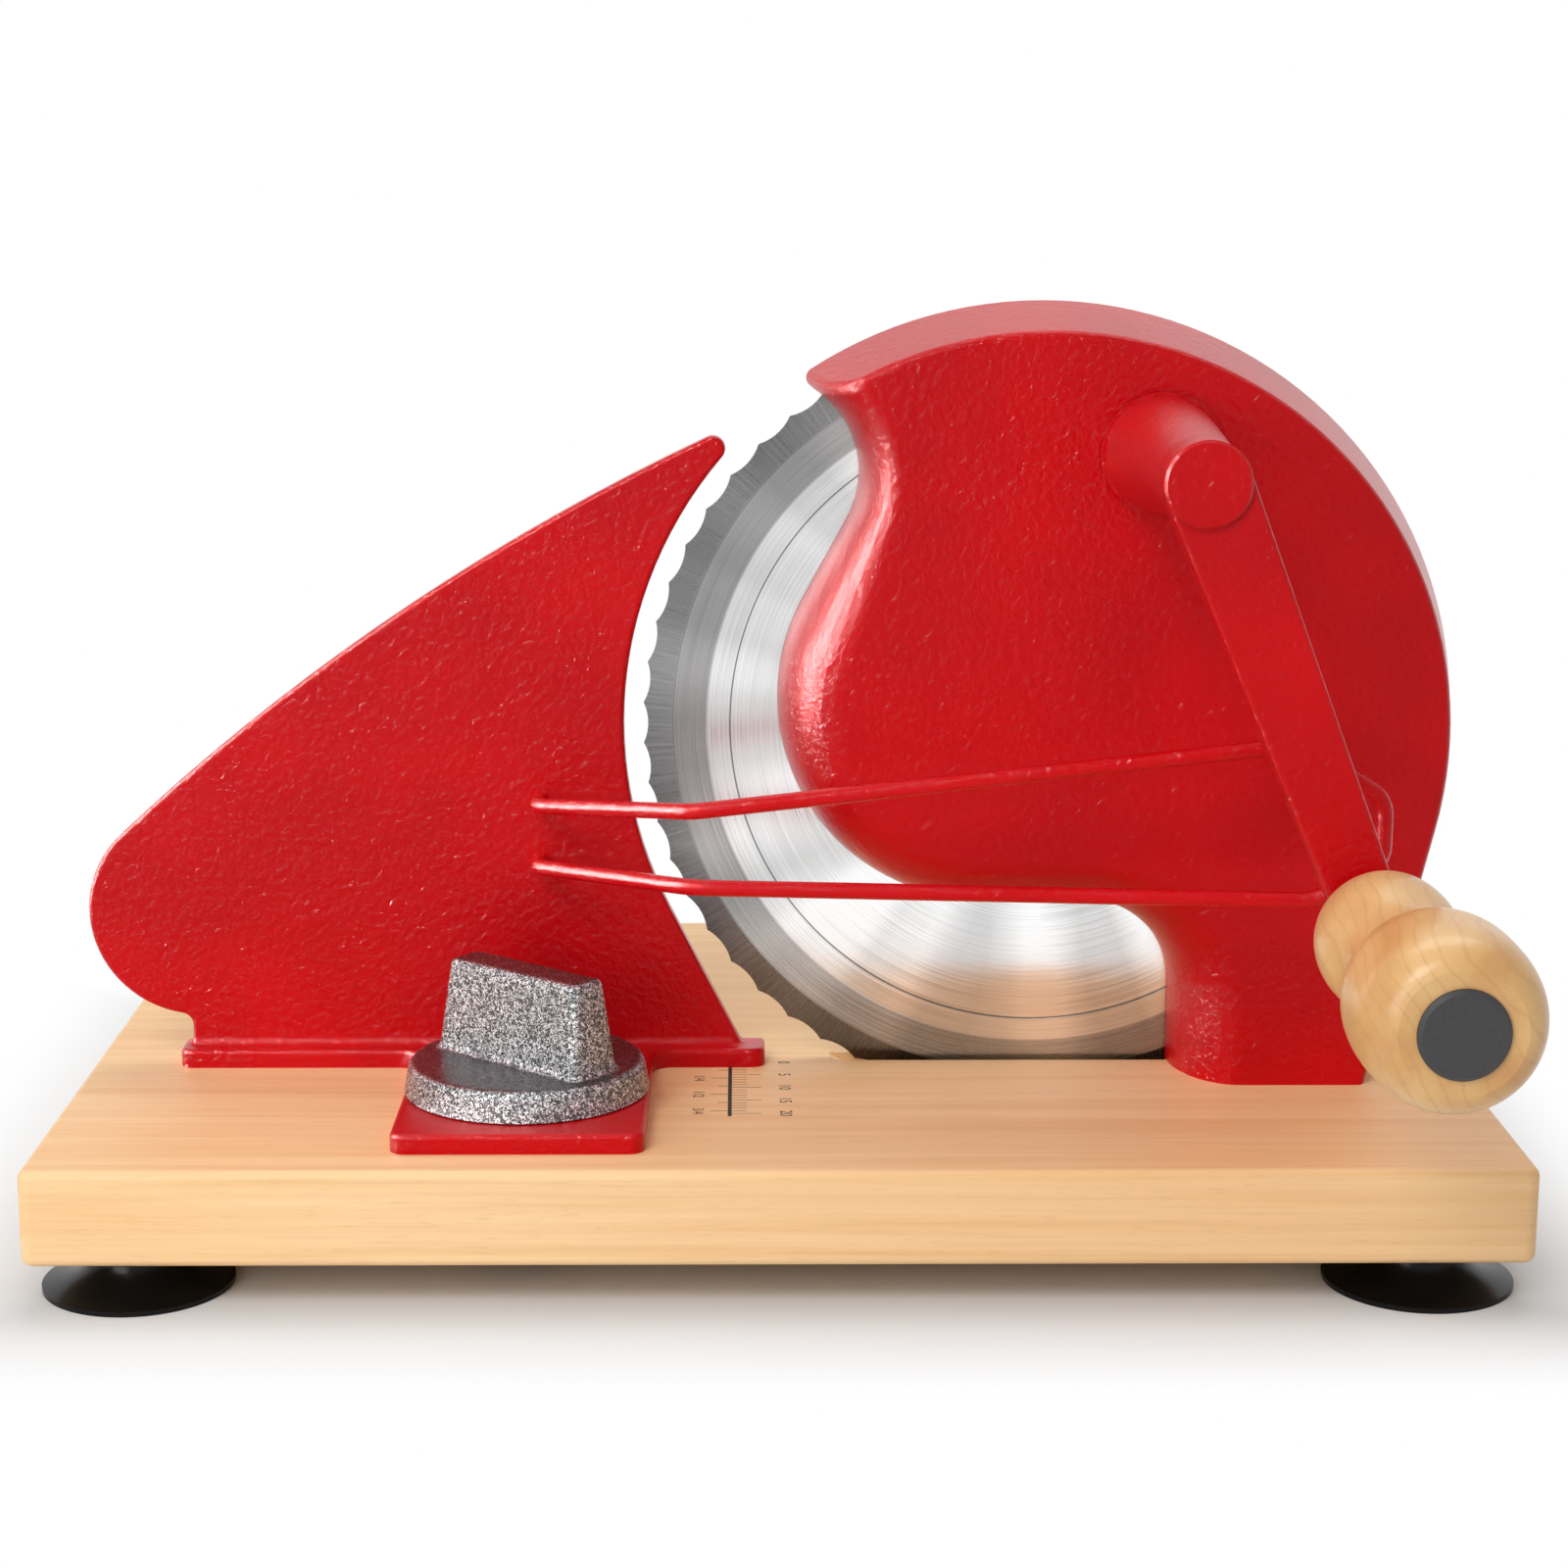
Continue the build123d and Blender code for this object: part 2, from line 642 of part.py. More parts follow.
hub_screw_spots = [on_circle((axis_x, axis_z), hub_screw_circle, 90 + 360 / hub_screw_count * turn)
                   for turn in range(hub_screw_count)]
with BuildPart() as blade_gear:
    extrude(gear_outline(gear_back, axis_x, axis_z, blade_teeth, blade_phase), amount=gear_face_width)
    with BuildSketch(facing(gear_front)):
        with Locations((axis_x, axis_z)):
            Circle(web_outer_radius)
            Circle(web_inner_radius, mode=Mode.SUBTRACT)
    extrude(amount=-web_recess_depth, mode=Mode.SUBTRACT)
    with BuildSketch(facing(hub_back)):
        with Locations((axis_x, axis_z)):
            Circle(hub_radius)
    extrude(amount=hub_back - gear_back)
    with BuildSketch(facing(cutting_plane)):
        with Locations((axis_x, axis_z)):
            Circle(hub_spigot_radius)
    extrude(amount=blade_thickness)
    with BuildSketch(facing(cutting_plane)):
        with Locations((axis_x, axis_z)):
            Circle(pocket_radius)
    extrude(amount=cutting_plane - hub_pocket_floor, mode=Mode.SUBTRACT)
    with BuildSketch(facing(cutting_plane)):
        with Locations((axis_x, axis_z)):
            Circle(hub_bush_radius)
    extrude(amount=cutting_plane - gear_front, mode=Mode.SUBTRACT)
    with BuildSketch(facing(cutting_plane)):
        with Locations(*hub_screw_spots):
            Circle(hub_screw_radius)
    extrude(amount=hub_screw_length, mode=Mode.SUBTRACT)
finish(blade_gear.part, "blade_gear")

with BuildPart() as blade_screws:
    for x, z in hub_screw_spots:
        revolve(outline(lathe(x, z), (0, cutting_plane - hub_screw_length),
                        (hub_screw_radius, cutting_plane - hub_screw_length),
                        (hub_screw_radius, blade_front), (hub_screw_head_radius, cutting_plane),
                        (0, cutting_plane)), axis=y_axis(x, z))
finish(blade_screws.part, "blade_screws")

# ---------------------------------------------------------------- blade
# Each scallop is a round gullet; two neighbours meet in a cusp on the full radius.
scallop_pitch = 360 / blade_scallops
cusp = on_circle((0, 0), blade_radius, scallop_pitch / 2)
scallop_root = blade_radius - blade_scallop_depth
cutter_radius = ((cusp[0] - scallop_root)**2 + cusp[1]**2) / (2 * (cusp[0] - scallop_root))
bevel_radius = blade_radius - blade_bevel_width
ring_inner = blade_ring_radius - blade_ring_width / 2
ring_outer = blade_ring_radius + blade_ring_width / 2
ring_floor = blade_front + blade_ring_depth

with BuildPart() as blade:
    revolve(outline(lathe(axis_x, axis_z), (hub_spigot_radius, cutting_plane),
                    (hub_spigot_radius, blade_front), (ring_inner, blade_front),
                    (ring_inner, ring_floor), (ring_outer, ring_floor), (ring_outer, blade_front),
                    (bevel_radius, blade_front), (blade_radius, cutting_plane - blade_edge_thickness),
                    (blade_radius, cutting_plane)), axis=y_axis(axis_x, axis_z))
    with BuildSketch(facing(cutting_plane)):
        for gullet in range(blade_scallops):
            with Locations(on_circle((axis_x, axis_z), scallop_root + cutter_radius,
                                     gullet * scallop_pitch)):
                Circle(cutter_radius)
    extrude(amount=blade_thickness, mode=Mode.SUBTRACT)
    for x, z in hub_screw_spots:
        revolve(outline(lathe(x, z), (0, blade_front), (hub_screw_radius, blade_front),
                        (hub_screw_head_radius, cutting_plane), (0, cutting_plane)),
                axis=y_axis(x, z), mode=Mode.SUBTRACT)
finish(blade.part, "blade")

# ---------------------------------------------------------------- idler gear on its axle
clip_front = gear_back + end_play
clip_back = clip_front + clip_thickness
idler_end = clip_back + axle_end_beyond_clip
idler_groove = idler_axle_radius - clip_groove

with BuildPart() as idler_axle:
    revolve(outline(lathe(idler_x, idler_z), (0, axle_front), (idler_axle_radius, axle_front),
                    (idler_axle_radius, clip_front), (idler_groove, clip_front),
                    (idler_groove, clip_back), (idler_axle_radius, clip_back),
                    (idler_axle_radius, idler_end), (0, idler_end)), axis=y_axis(idler_x, idler_z))
finish(idler_axle.part, "idler_axle")

with BuildPart() as idler_clip:
    with BuildSketch(facing(clip_back)):
        with Locations((idler_x, idler_z)):
            Circle(idler_axle_radius + clip_width)
            Circle(idler_groove, mode=Mode.SUBTRACT)
    extrude(amount=clip_thickness)
finish(idler_clip.part, "idler_clip")

with BuildPart() as idler_gear:
    extrude(gear_outline(gear_back, idler_x, idler_z, idler_teeth, idler_phase), amount=gear_face_width)
    with BuildSketch(facing(gear_back)):
        with Locations((idler_x, idler_z)):
            Circle(idler_axle_radius + running_clearance)
    extrude(amount=gear_face_width, mode=Mode.SUBTRACT)
finish(idler_gear.part, "idler_gear")

# ---------------------------------------------------------------- crank shaft, its bearing and pinion
shaft_clip_back = gear_back + clip_thickness
shaft_end = shaft_clip_back + axle_end_beyond_clip
shaft_groove = shaft_radius - clip_groove
screw_seat = arm_front + arm_screw_head_height + hub_cap_plug
shaft_front = screw_seat + arm_floor
arm_screw_end = screw_seat + arm_screw_length
bushing_end = bearing_back + bushing_flange_height

with BuildPart() as crank_bushing:
    revolve(outline(lathe(crank_x, crank_z), (shaft_radius + running_clearance, housing_front),
                    (bushing_radius, housing_front), (bushing_radius, bearing_back),
                    (bushing_radius + bushing_flange_width, bearing_back),
                    (bushing_radius + bushing_flange_width, bushing_end),
                    (shaft_radius + running_clearance, bushing_end)), axis=y_axis(crank_x, crank_z))
finish(crank_bushing.part, "crank_bushing")

with BuildPart() as crank_shaft:
    revolve(outline(lathe(crank_x, crank_z), (arm_screw_radius, shaft_front), (shaft_radius, shaft_front),
                    (shaft_radius, gear_back), (shaft_groove, gear_back),
                    (shaft_groove, shaft_clip_back), (shaft_radius, shaft_clip_back),
                    (shaft_radius, shaft_end), (0, shaft_end), (0, arm_screw_end),
                    (arm_screw_radius, arm_screw_end)), axis=y_axis(crank_x, crank_z))
finish(crank_shaft.part, "crank_shaft")

with BuildPart() as shaft_clip:
    with BuildSketch(facing(shaft_clip_back)):
        with Locations((crank_x, crank_z)):
            Circle(shaft_radius + clip_width)
            Circle(shaft_groove, mode=Mode.SUBTRACT)
    extrude(amount=clip_thickness)
finish(shaft_clip.part, "shaft_clip")

with BuildPart() as crank_pinion:
    extrude(gear_outline(gear_back, crank_x, crank_z, crank_teeth, crank_phase), amount=gear_face_width)
    with BuildSketch(facing(gear_back)):
        with Locations((crank_x, crank_z)):
            Circle(shaft_radius)
    extrude(amount=gear_face_width, mode=Mode.SUBTRACT)
finish(crank_pinion.part, "crank_pinion")

# ---------------------------------------------------------------- crank arm with its cone, screw and cap
hub_base = housing_front - crank_hub_gap
lip_front = hub_base - crank_hub_lip
cone_foot_radius = crank_hub_radius - crank_hub_step
screw_pocket_radius = arm_screw_head_radius + end_play

with BuildPart() as crank_arm:
    with BuildSketch(facing(arm_back)):
        with Locations((crank_x, crank_z)):
            Circle(crank_head_radius)
        with Locations((grip_x, grip_z)):
            Circle(crank_end_radius)
        make_hull()
    extrude(amount=crank_arm_thickness)
    fillet(crank_arm.faces().sort_by(Axis.Y)[0].edges(), radius=crank_arm_edge)
    fillet(crank_arm.faces().sort_by(Axis.Y)[-1].edges(), radius=crank_arm_edge)
    revolve(outline(lathe(crank_x, crank_z), (0, arm_front + crank_arm_edge),
                    (crank_head_radius, arm_front + crank_arm_edge), (crank_head_radius, arm_back),
                    (cone_foot_radius, lip_front), (crank_hub_radius, lip_front),
                    (crank_hub_radius, hub_base), (0, hub_base)), axis=y_axis(crank_x, crank_z))
    for radius, front, back in ((shaft_radius, shaft_front, hub_base),
                                (arm_screw_radius, arm_front, hub_base),
                                (screw_pocket_radius, arm_front, screw_seat)):
        with BuildSketch(facing(back)):
            with Locations((crank_x, crank_z)):
                Circle(radius)
        extrude(amount=back - front, mode=Mode.SUBTRACT)
    with BuildSketch(facing(arm_back)):
        with Locations((grip_x, grip_z)):
            Circle(spindle_radius)
    extrude(amount=crank_arm_thickness, mode=Mode.SUBTRACT)
finish(crank_arm.part, "crank_arm")

with BuildPart() as arm_screw:
    with BuildSketch(facing(screw_seat)):
        with Locations((crank_x, crank_z)):
            Circle(arm_screw_head_radius)
    extrude(amount=arm_screw_head_height)
    with BuildSketch(facing(arm_screw_end)):
        with Locations((crank_x, crank_z)):
            Circle(arm_screw_radius)
    extrude(amount=arm_screw_length)
finish(arm_screw.part, "arm_screw")

cap_front = arm_front - hub_cap_thickness
with BuildPart() as hub_cap:
    revolve(outline(lathe(crank_x, crank_z), (0, arm_front + hub_cap_plug),
                    (screw_pocket_radius, arm_front + hub_cap_plug), (screw_pocket_radius, arm_front),
                    (crank_head_radius, arm_front), (crank_head_radius, cap_front + hub_cap_edge),
                    (crank_head_radius - hub_cap_edge, cap_front), (0, cap_front)),
            axis=y_axis(crank_x, crank_z))
finish(hub_cap.part, "hub_cap")

# ---------------------------------------------------------------- grip on its spindle
cap_floor = grip_front + grip_cap_plug
pocket_floor = cap_floor + spindle_head_room + spindle_head_height
head_seat = pocket_floor - end_play
nut_back = arm_back + spindle_nut_thickness
head_pocket_radius = spindle_head_radius + spindle_head_side_gap

with BuildPart() as grip_spindle:
    revolve(outline(lathe(grip_x, grip_z), (0, head_seat - spindle_head_height),
                    (spindle_head_radius, head_seat - spindle_head_height),
                    (spindle_head_radius, head_seat), (spindle_radius, head_seat),
                    (spindle_radius, nut_back), (0, nut_back)), axis=y_axis(grip_x, grip_z))
finish(grip_spindle.part, "grip_spindle")

with BuildPart() as spindle_nut:
    with BuildSketch(facing(nut_back)):
        with Locations((grip_x, grip_z)):
            RegularPolygon(spindle_nut_radius, 6)
            Circle(spindle_radius, mode=Mode.SUBTRACT)
    extrude(amount=spindle_nut_thickness)
finish(spindle_nut.part, "spindle_nut")

with BuildPart() as grip:
    with BuildSketch(lathe(grip_x, grip_z)):
        with BuildLine():
            back_face = Line((spindle_radius + running_clearance, grip_back),
                             (grip_rear_end_radius, grip_back))
            rear_bulb = Spline(back_face @ 1, (grip_rear_radius, grip_back - grip_rear_crest),
                               tangents=[(1, -grip_rear_slope), (0, -1)])
            into_waist = Spline(rear_bulb @ 1, (grip_waist_radius, grip_back - grip_waist_from_back),
                                tangents=[(0, -1), (0, -1)])
            out_of_waist = Spline(into_waist @ 1, (grip_front_radius, grip_back - grip_front_crest),
                                  tangents=[(0, -1), (0, -1)])
            front_bulb = Spline(out_of_waist @ 1, (grip_front_end_radius, grip_front),
                                tangents=[(0, -1), (-1, -grip_front_slope)])
            Polyline(front_bulb @ 1, (grip_cap_radius, grip_front), (grip_cap_radius, cap_floor),
                     (head_pocket_radius, cap_floor), (head_pocket_radius, pocket_floor),
                     (spindle_radius + running_clearance, pocket_floor), back_face @ 0)
        make_face()
    revolve(axis=y_axis(grip_x, grip_z))
finish(grip.part, "grip")

with BuildPart() as grip_cap:
    revolve(outline(lathe(grip_x, grip_z), (0, cap_floor), (grip_cap_radius, cap_floor),
                    (grip_cap_radius, grip_front - grip_cap_proud + grip_cap_edge),
                    (grip_cap_radius - grip_cap_edge, grip_front - grip_cap_proud),
                    (0, grip_front - grip_cap_proud)), axis=y_axis(grip_x, grip_z))
finish(grip_cap.part, "grip_cap")

# ---------------------------------------------------------------- stop plate
plate_edge_radius = blade_radius + plate_to_blade_gap
left_centre = (board_left + plate_left_inset, board_top + plate_left_height)
plate_tip = on_circle((axis_x, axis_z), plate_edge_radius, plate_tip_angle)
left_top = on_circle(left_centre, plate_left_radius, plate_left_angle)
left_bottom = on_circle(left_centre, plate_left_radius, plate_notch_angle)
lower_edge = on_circle((axis_x, axis_z), plate_edge_radius, plate_lower_angle)
edge_middle = on_circle((axis_x, axis_z), plate_edge_radius, (plate_tip_angle + plate_lower_angle) / 2)
sole_top = board_top + sole_thickness
lower_run = (lower_edge[1] - board_top) / cos(radians(plate_lower_angle - 180))
lower_right = (lower_edge[0] + lower_run * sin(radians(plate_lower_angle - 180)), board_top)
flange_left = left_bottom[0] - flange_left_reach
flange_right = lower_right[0] + flange_right_reach
guard_hole_x = board_left + guard_hole_left_inset
guard_heights = (board_top + guard_upper_height, board_top + guard_lower_height)

with BuildPart() as stop_plate:
    with BuildSketch(facing(cutting_plane)) as plate_face:
        with BuildLine():
            TangentArc(left_top, plate_tip, tangent=(sin(radians(plate_left_angle)),
                                                     -cos(radians(plate_left_angle))))
            ThreePointArc(plate_tip, edge_middle, lower_edge)
            Polyline(lower_edge, lower_right, (left_bottom[0], board_top), left_bottom)
            ThreePointArc(left_bottom, on_circle(left_centre, plate_left_radius,
                                                 (plate_left_angle + plate_notch_angle) / 2), left_top)
        make_face()
        fillet(plate_face.vertices().sort_by(Axis.Y)[-1], radius=plate_tip_radius)
        fillet(plate_face.vertices().filter_by(lambda spot: spot.Y > board_top + sole_thickness)
               .sort_by(Axis.Y)[0], radius=plate_notch_radius)
    extrude(amount=plate_thickness)
    fillet(stop_plate.edges().filter_by(Plane.XZ).filter_by(
        lambda edge: edge.center().Z > board_top + casting_edge), radius=casting_edge)
    with BuildSketch(Plane.XY.offset(board_top)) as sole_plan:
        with BuildLine():
            Polyline((flange_left, cutting_plane), (flange_left, flange_front),
                     (knob_x - tab_width / 2, flange_front), (knob_x - tab_width / 2, tab_front),
                     (knob_x + tab_width / 2, tab_front), (knob_x + tab_width / 2, flange_front),
                     (flange_right, flange_front), (flange_right, cutting_plane), close=True)
        make_face()
        for depth, picked, radius in ((tab_front, slice(0, 2), tab_corner_radius),
                                      (flange_front, slice(0, 4, 3), flange_corner_radius),
                                      (flange_front, slice(1, 3), tab_root_radius)):
            row = sole_plan.vertices().filter_by(lambda spot: abs(spot.Y - depth) < casting_edge)
            fillet(row.sort_by(Axis.X)[picked], radius=radius)
    extrude(amount=sole_thickness)
    foot_line = stop_plate.edges().filter_by(Axis.X).filter_by(
        lambda edge: abs(edge.center().Y - plate_front) < casting_edge / 2
        and abs(edge.center().Z - sole_top) < casting_edge / 2)
    fillet(foot_line, radius=plate_fillet)
    fillet(stop_plate.edges().filter_by(
        lambda edge: abs(edge.center().Z - sole_top) < casting_edge / 2
        and edge.center().Y < plate_front - plate_fillet), radius=casting_edge)
    with Locations((knob_x, knob_y, board_top)):
        Cylinder(stud_radius + slot_clearance, sole_thickness,
                 align=(Align.CENTER, Align.CENTER, Align.MIN), mode=Mode.SUBTRACT)
    for side in (-1, 1):
        with Locations((knob_x + side * key_spacing / 2, key_start, board_top)):
            Box(key_width, key_length, key_height, align=(Align.CENTER, Align.MIN, Align.MAX))
    with BuildSketch(facing(plate_front + guard_sink)):
        with Locations(*[(guard_hole_x, height) for height in guard_heights]):
            Circle(wire_radius)
    extrude(amount=guard_sink, mode=Mode.SUBTRACT)
finish(stop_plate.part, "stop_plate")

# ---------------------------------------------------------------- wire guard
guard_plane = plate_front - guard_stand_off
root_y = plate_front - guard_root_run
guard_bend_x = guard_hole_x + guard_bend_run
guard_tip_x = axis_x + guard_tip_right_of_blade
guard_far_upper_x = axis_x + guard_far_upper_right_of_blade
guard_far_lower_x = axis_x + guard_far_lower_right_of_blade
with BuildPart() as wire_guard:
    with BuildLine() as guard_path:
        FilletPolyline(
            (guard_hole_x, plate_front + guard_sink, guard_heights[0]),
            (guard_hole_x, root_y, guard_heights[0]),
            (guard_bend_x, guard_plane, board_top + guard_bend_upper_height),
            (guard_far_upper_x, guard_plane, board_top + guard_far_upper_height),
            (guard_tip_x, guard_plane, board_top + guard_tip_upper_height),
            (guard_tip_x, guard_plane, board_top + guard_tip_lower_height),
            (guard_far_lower_x, guard_plane, board_top + guard_far_lower_height),
            (guard_bend_x, guard_plane, board_top + guard_bend_lower_height),
            (guard_hole_x, root_y, guard_heights[1]),
            (guard_hole_x, plate_front + guard_sink, guard_heights[1]),
            radius=[guard_root_radius, guard_bend_radius, guard_bend_radius, guard_tip_radius,
                    guard_tip_radius, guard_bend_radius, guard_bend_radius, guard_root_radius])
    with BuildSketch(facing(plate_front + guard_sink)):
        with Locations((guard_hole_x, guard_heights[0])):
            Circle(wire_radius)
    sweep()
finish(wire_guard.part, "wire_guard")

# ---------------------------------------------------------------- clamping knob, its stud and nut
knob_top = knob_base + knob_height
knob_disc_top = knob_base + knob_disc_height
nut_bottom = nut_channel_top - nut_lift - nut_thickness
fin_plane = Plane(origin=(knob_x, knob_y, 0), z_dir=(cos(radians(knob_fin_turn)),
                                                     sin(radians(knob_fin_turn)), 0),
                  x_dir=(-sin(radians(knob_fin_turn)), cos(radians(knob_fin_turn)), 0))

with BuildPart() as clamp_knob:
    revolve(outline(post(knob_x, knob_y), (0, knob_base), (knob_radius, knob_base),
                    (knob_radius - knob_disc_height * tan(radians(knob_disc_taper)), knob_disc_top),
                    (knob_fin_foot_length / 2, knob_disc_top), (knob_fin_top_length / 2, knob_top),
                    (0, knob_top)), axis=z_axis(knob_x, knob_y))
    with BuildSketch(fin_plane):
        for side in (-1, 1):
            with BuildLine():
                Polyline((side * knob_fin_top_thickness / 2, knob_top + knob_edge),
                         (side * knob_fin_top_thickness / 2, knob_top),
                         (side * knob_fin_thickness / 2, knob_disc_top),
                         (side * 2 * knob_radius, knob_disc_top),
                         (side * 2 * knob_radius, knob_top + knob_edge), close=True)
            make_face()
    extrude(amount=2 * knob_radius, both=True, mode=Mode.SUBTRACT)
    fillet(clamp_knob.edges().filter_by(lambda edge: edge.center().Z > knob_base + knob_edge),
           radius=knob_edge)
    with Locations((knob_x, knob_y, knob_base)):
        Cylinder(stud_radius, stud_sink, align=(Align.CENTER, Align.CENTER, Align.MIN), mode=Mode.SUBTRACT)
finish(clamp_knob.part, "clamp_knob")

with BuildPart() as clamp_stud:
    with Locations((knob_x, knob_y, nut_bottom)):
        Cylinder(stud_radius, knob_base + stud_sink - nut_bottom,
                 align=(Align.CENTER, Align.CENTER, Align.MIN))
finish(clamp_stud.part, "clamp_stud")

with BuildPart() as clamp_nut:
    with Locations((knob_x, knob_y, nut_bottom)):
        Box(nut_size, nut_size, nut_thickness, align=(Align.CENTER, Align.CENTER, Align.MIN))
    chamfer(clamp_nut.edges().filter_by(Axis.Z), length=nut_corner)
    with Locations((knob_x, knob_y, nut_bottom)):
        Cylinder(stud_radius + running_clearance, nut_thickness,
                 align=(Align.CENTER, Align.CENTER, Align.MIN), mode=Mode.SUBTRACT)
finish(clamp_nut.part, "clamp_nut")
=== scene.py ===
"""Looks of a hand-cranked bread slicer: enamel castings, a round scalloped blade, a beech board.

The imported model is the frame. Pieces whose shape is right keep it and get their finish here; the
gear housing's smooth skin and the printed scale are made here. Metres, in the frame's own axes:
+X to the right along the board, +Y away from the person who turns the crank, +Z up.
"""

from math import pi, radians

import bmesh
import bpy
from mathutils import Euler, Matrix, Vector


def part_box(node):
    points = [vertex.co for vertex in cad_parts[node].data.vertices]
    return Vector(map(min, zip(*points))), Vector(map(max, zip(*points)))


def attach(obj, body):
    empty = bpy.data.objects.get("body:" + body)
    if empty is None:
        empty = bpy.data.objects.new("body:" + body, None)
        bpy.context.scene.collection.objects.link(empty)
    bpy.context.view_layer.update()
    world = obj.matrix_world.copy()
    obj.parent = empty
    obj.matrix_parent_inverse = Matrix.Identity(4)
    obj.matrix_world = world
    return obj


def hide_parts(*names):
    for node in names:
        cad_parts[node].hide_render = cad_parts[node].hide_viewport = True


bl_info = {
    "name": "Hand-cranked bread slicer",
    "version": (1, 0, 0),
    "blender": (4, 5, 0),
    "location": "3D View > Sidebar > Slicer",
    "description": "Finishes, printed scale and studio for a table bread slicer",
    "category": "Object",
}

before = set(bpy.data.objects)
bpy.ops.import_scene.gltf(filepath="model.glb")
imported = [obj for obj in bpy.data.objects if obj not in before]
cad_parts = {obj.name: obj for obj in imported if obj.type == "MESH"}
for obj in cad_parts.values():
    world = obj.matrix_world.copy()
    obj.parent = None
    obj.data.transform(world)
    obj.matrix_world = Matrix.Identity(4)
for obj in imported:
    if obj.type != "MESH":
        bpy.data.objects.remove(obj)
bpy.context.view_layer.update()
millimetre = 0.001


def centre(node):
    low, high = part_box(node)
    return (low + high) / 2


board_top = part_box("board")[1].z
blade_axis = centre("blade_axle")
grip_axis = centre("grip")

# the printed scale: where it begins, how many marks it has, how far its numbers stand from its line
scale_zero = (-0.0115, 0.0136)
scale_units = 20
scale_eighths = 6
number_gap = 0.0130
fraction_gap = 0.0075
quarter_mark_share = 0.6
eighth_mark_share = 0.7
fraction_height_share = 0.9
digit_share_of_font = 0.7

# the blade's rings: radius in millimetres and the metal's tone there, from the middle outwards
blade_rings = ((70.0, 0.97), (73.8, 0.97), (73.9, 0.25), (74.16, 0.25), (74.26, 0.93), (79.36, 0.90),
               (80.01, 0.46), (87.42, 0.44), (88.2, 0.22), (96.0, 0.18))
# the soft steps where its polish ends and its bevel begins, as radii in metres
polish_ends = (0.0785, 0.0800)
bevel_begins = (0.0878, 0.0882)

# the camera's place, and its turn from looking straight down, in degrees about X, Y and Z
camera_place = (-0.0091288, -0.6803105, 0.2462662)
camera_turn = (78.2525862, -0.1749787, -0.8413711)
camera_lens = 67.5


def linear(hexadecimal):
    """sRGB hex colour as linear red, green, blue and alpha."""
    values = [int(hexadecimal[i:i + 2], 16) / 255 for i in (0, 2, 4)]
    return tuple(v / 12.92 if v <= 0.04045 else ((v + 0.055) / 1.055) ** 2.4 for v in values) + (1.0,)


# ---------------------------------------------------------------- sizes and colours a user may change
def colour_property(name, description, hexadecimal):
    return bpy.props.FloatVectorProperty(name=name, description=description, subtype="COLOR", size=4,
                                         min=0, max=1, default=linear(hexadecimal))


def length_property(name, description, millimetres):
    return bpy.props.FloatProperty(name=name, description=description, unit="LENGTH",
                                   min=0.00001, default=millimetres * millimetre)


class SlicerColours(bpy.types.PropertyGroup):
    """Colours of the finishes."""
    enamel: colour_property("Enamel", "Red of the castings", "C4020C")
    enamel_deep: colour_property("Enamel deep", "Red where the coat is thicker", "B4010A")
    wire_coat: colour_property("Wire coat", "Red of the dip coat on the wire guard", "CC0512")
    beech_pale: colour_property("Beech pale", "Early wood of the board", "F5CE9B")
    beech_warm: colour_property("Beech warm", "Late wood of the board", "EABB84")
    beech_fleck: colour_property("Beech fleck", "Short rays in the board", "C4935C")
    grip_pale: colour_property("Grip pale", "Ground colour of the grip", "E0B67C")
    grip_streak: colour_property("Grip streak", "Figure in the grip", "BF8450")
    hammer_ground: colour_property("Hammer ground", "Hollows of the knob's finish", "5A5A5C")
    hammer_fleck: colour_property("Hammer fleck", "Crests of the knob's finish", "F4F4F5")
    rubber: colour_property("Rubber", "Suction feet", "070707")
    cap: colour_property("Cap", "End cap of the grip", "363638")
    ink: colour_property("Ink", "Printed scale", "1B1714")


class SlicerSizes(bpy.types.PropertyGroup):
    """Sizes of the printed scale and of the finishes."""
    unit_step: length_property("Unit step", "Spacing of the marks on the right", 2.0)
    quarter_step: length_property("Quarter step", "Spacing of the labels on the left", 12.7)
    line_width: length_property("Line width", "Width of the scale's upright", 0.9)
    mark_width: length_property("Mark width", "Width of a fine mark", 0.22)
    short_mark: length_property("Short mark", "Length of a fine mark", 3.6)
    long_mark: length_property("Long mark", "Length of each fifth mark", 7.0)
    label_height: length_property("Label height", "Height of the numbers", 2.9)
    ink_thickness: length_property("Ink thickness", "Height of the print on the wood", 0.02)
    peel: length_property("Orange peel", "Width of a wave in the enamel", 1.9)
    hammer: length_property("Hammer", "Width of a fleck on the knob", 0.62)
    grain: length_property("Grain", "Width of a growth ring in the board", 4.5)


# ---------------------------------------------------------------- nodes
def add(tree, kind, inputs=None, stops=None, **settings):
    """Adds a shader node: its settings, its inputs set or linked, and the stops of its ramp.
    A node given as an input stands for its first live output."""
    made = tree.nodes.new("ShaderNode" + kind)
    for setting, value in settings.items():
        setattr(made, setting, value)
    for socket, value in (inputs or {}).items():
        if isinstance(value, bpy.types.Node):
            value = next(output for output in value.outputs if output.enabled)
        if isinstance(value, bpy.types.NodeSocket):
            tree.links.new(value, made.inputs[socket])
        else:
            made.inputs[socket].default_value = value
    if stops:
        ramp = made.color_ramp.elements
        while len(ramp) < len(stops):
            ramp.new(1.0)
        for element, (place, colour) in zip(ramp, stops):
            element.position = place
            element.color = colour
    return made


def grey(value):
    """A colour without hue, of a linear value."""
    return (value, value, value, 1.0)


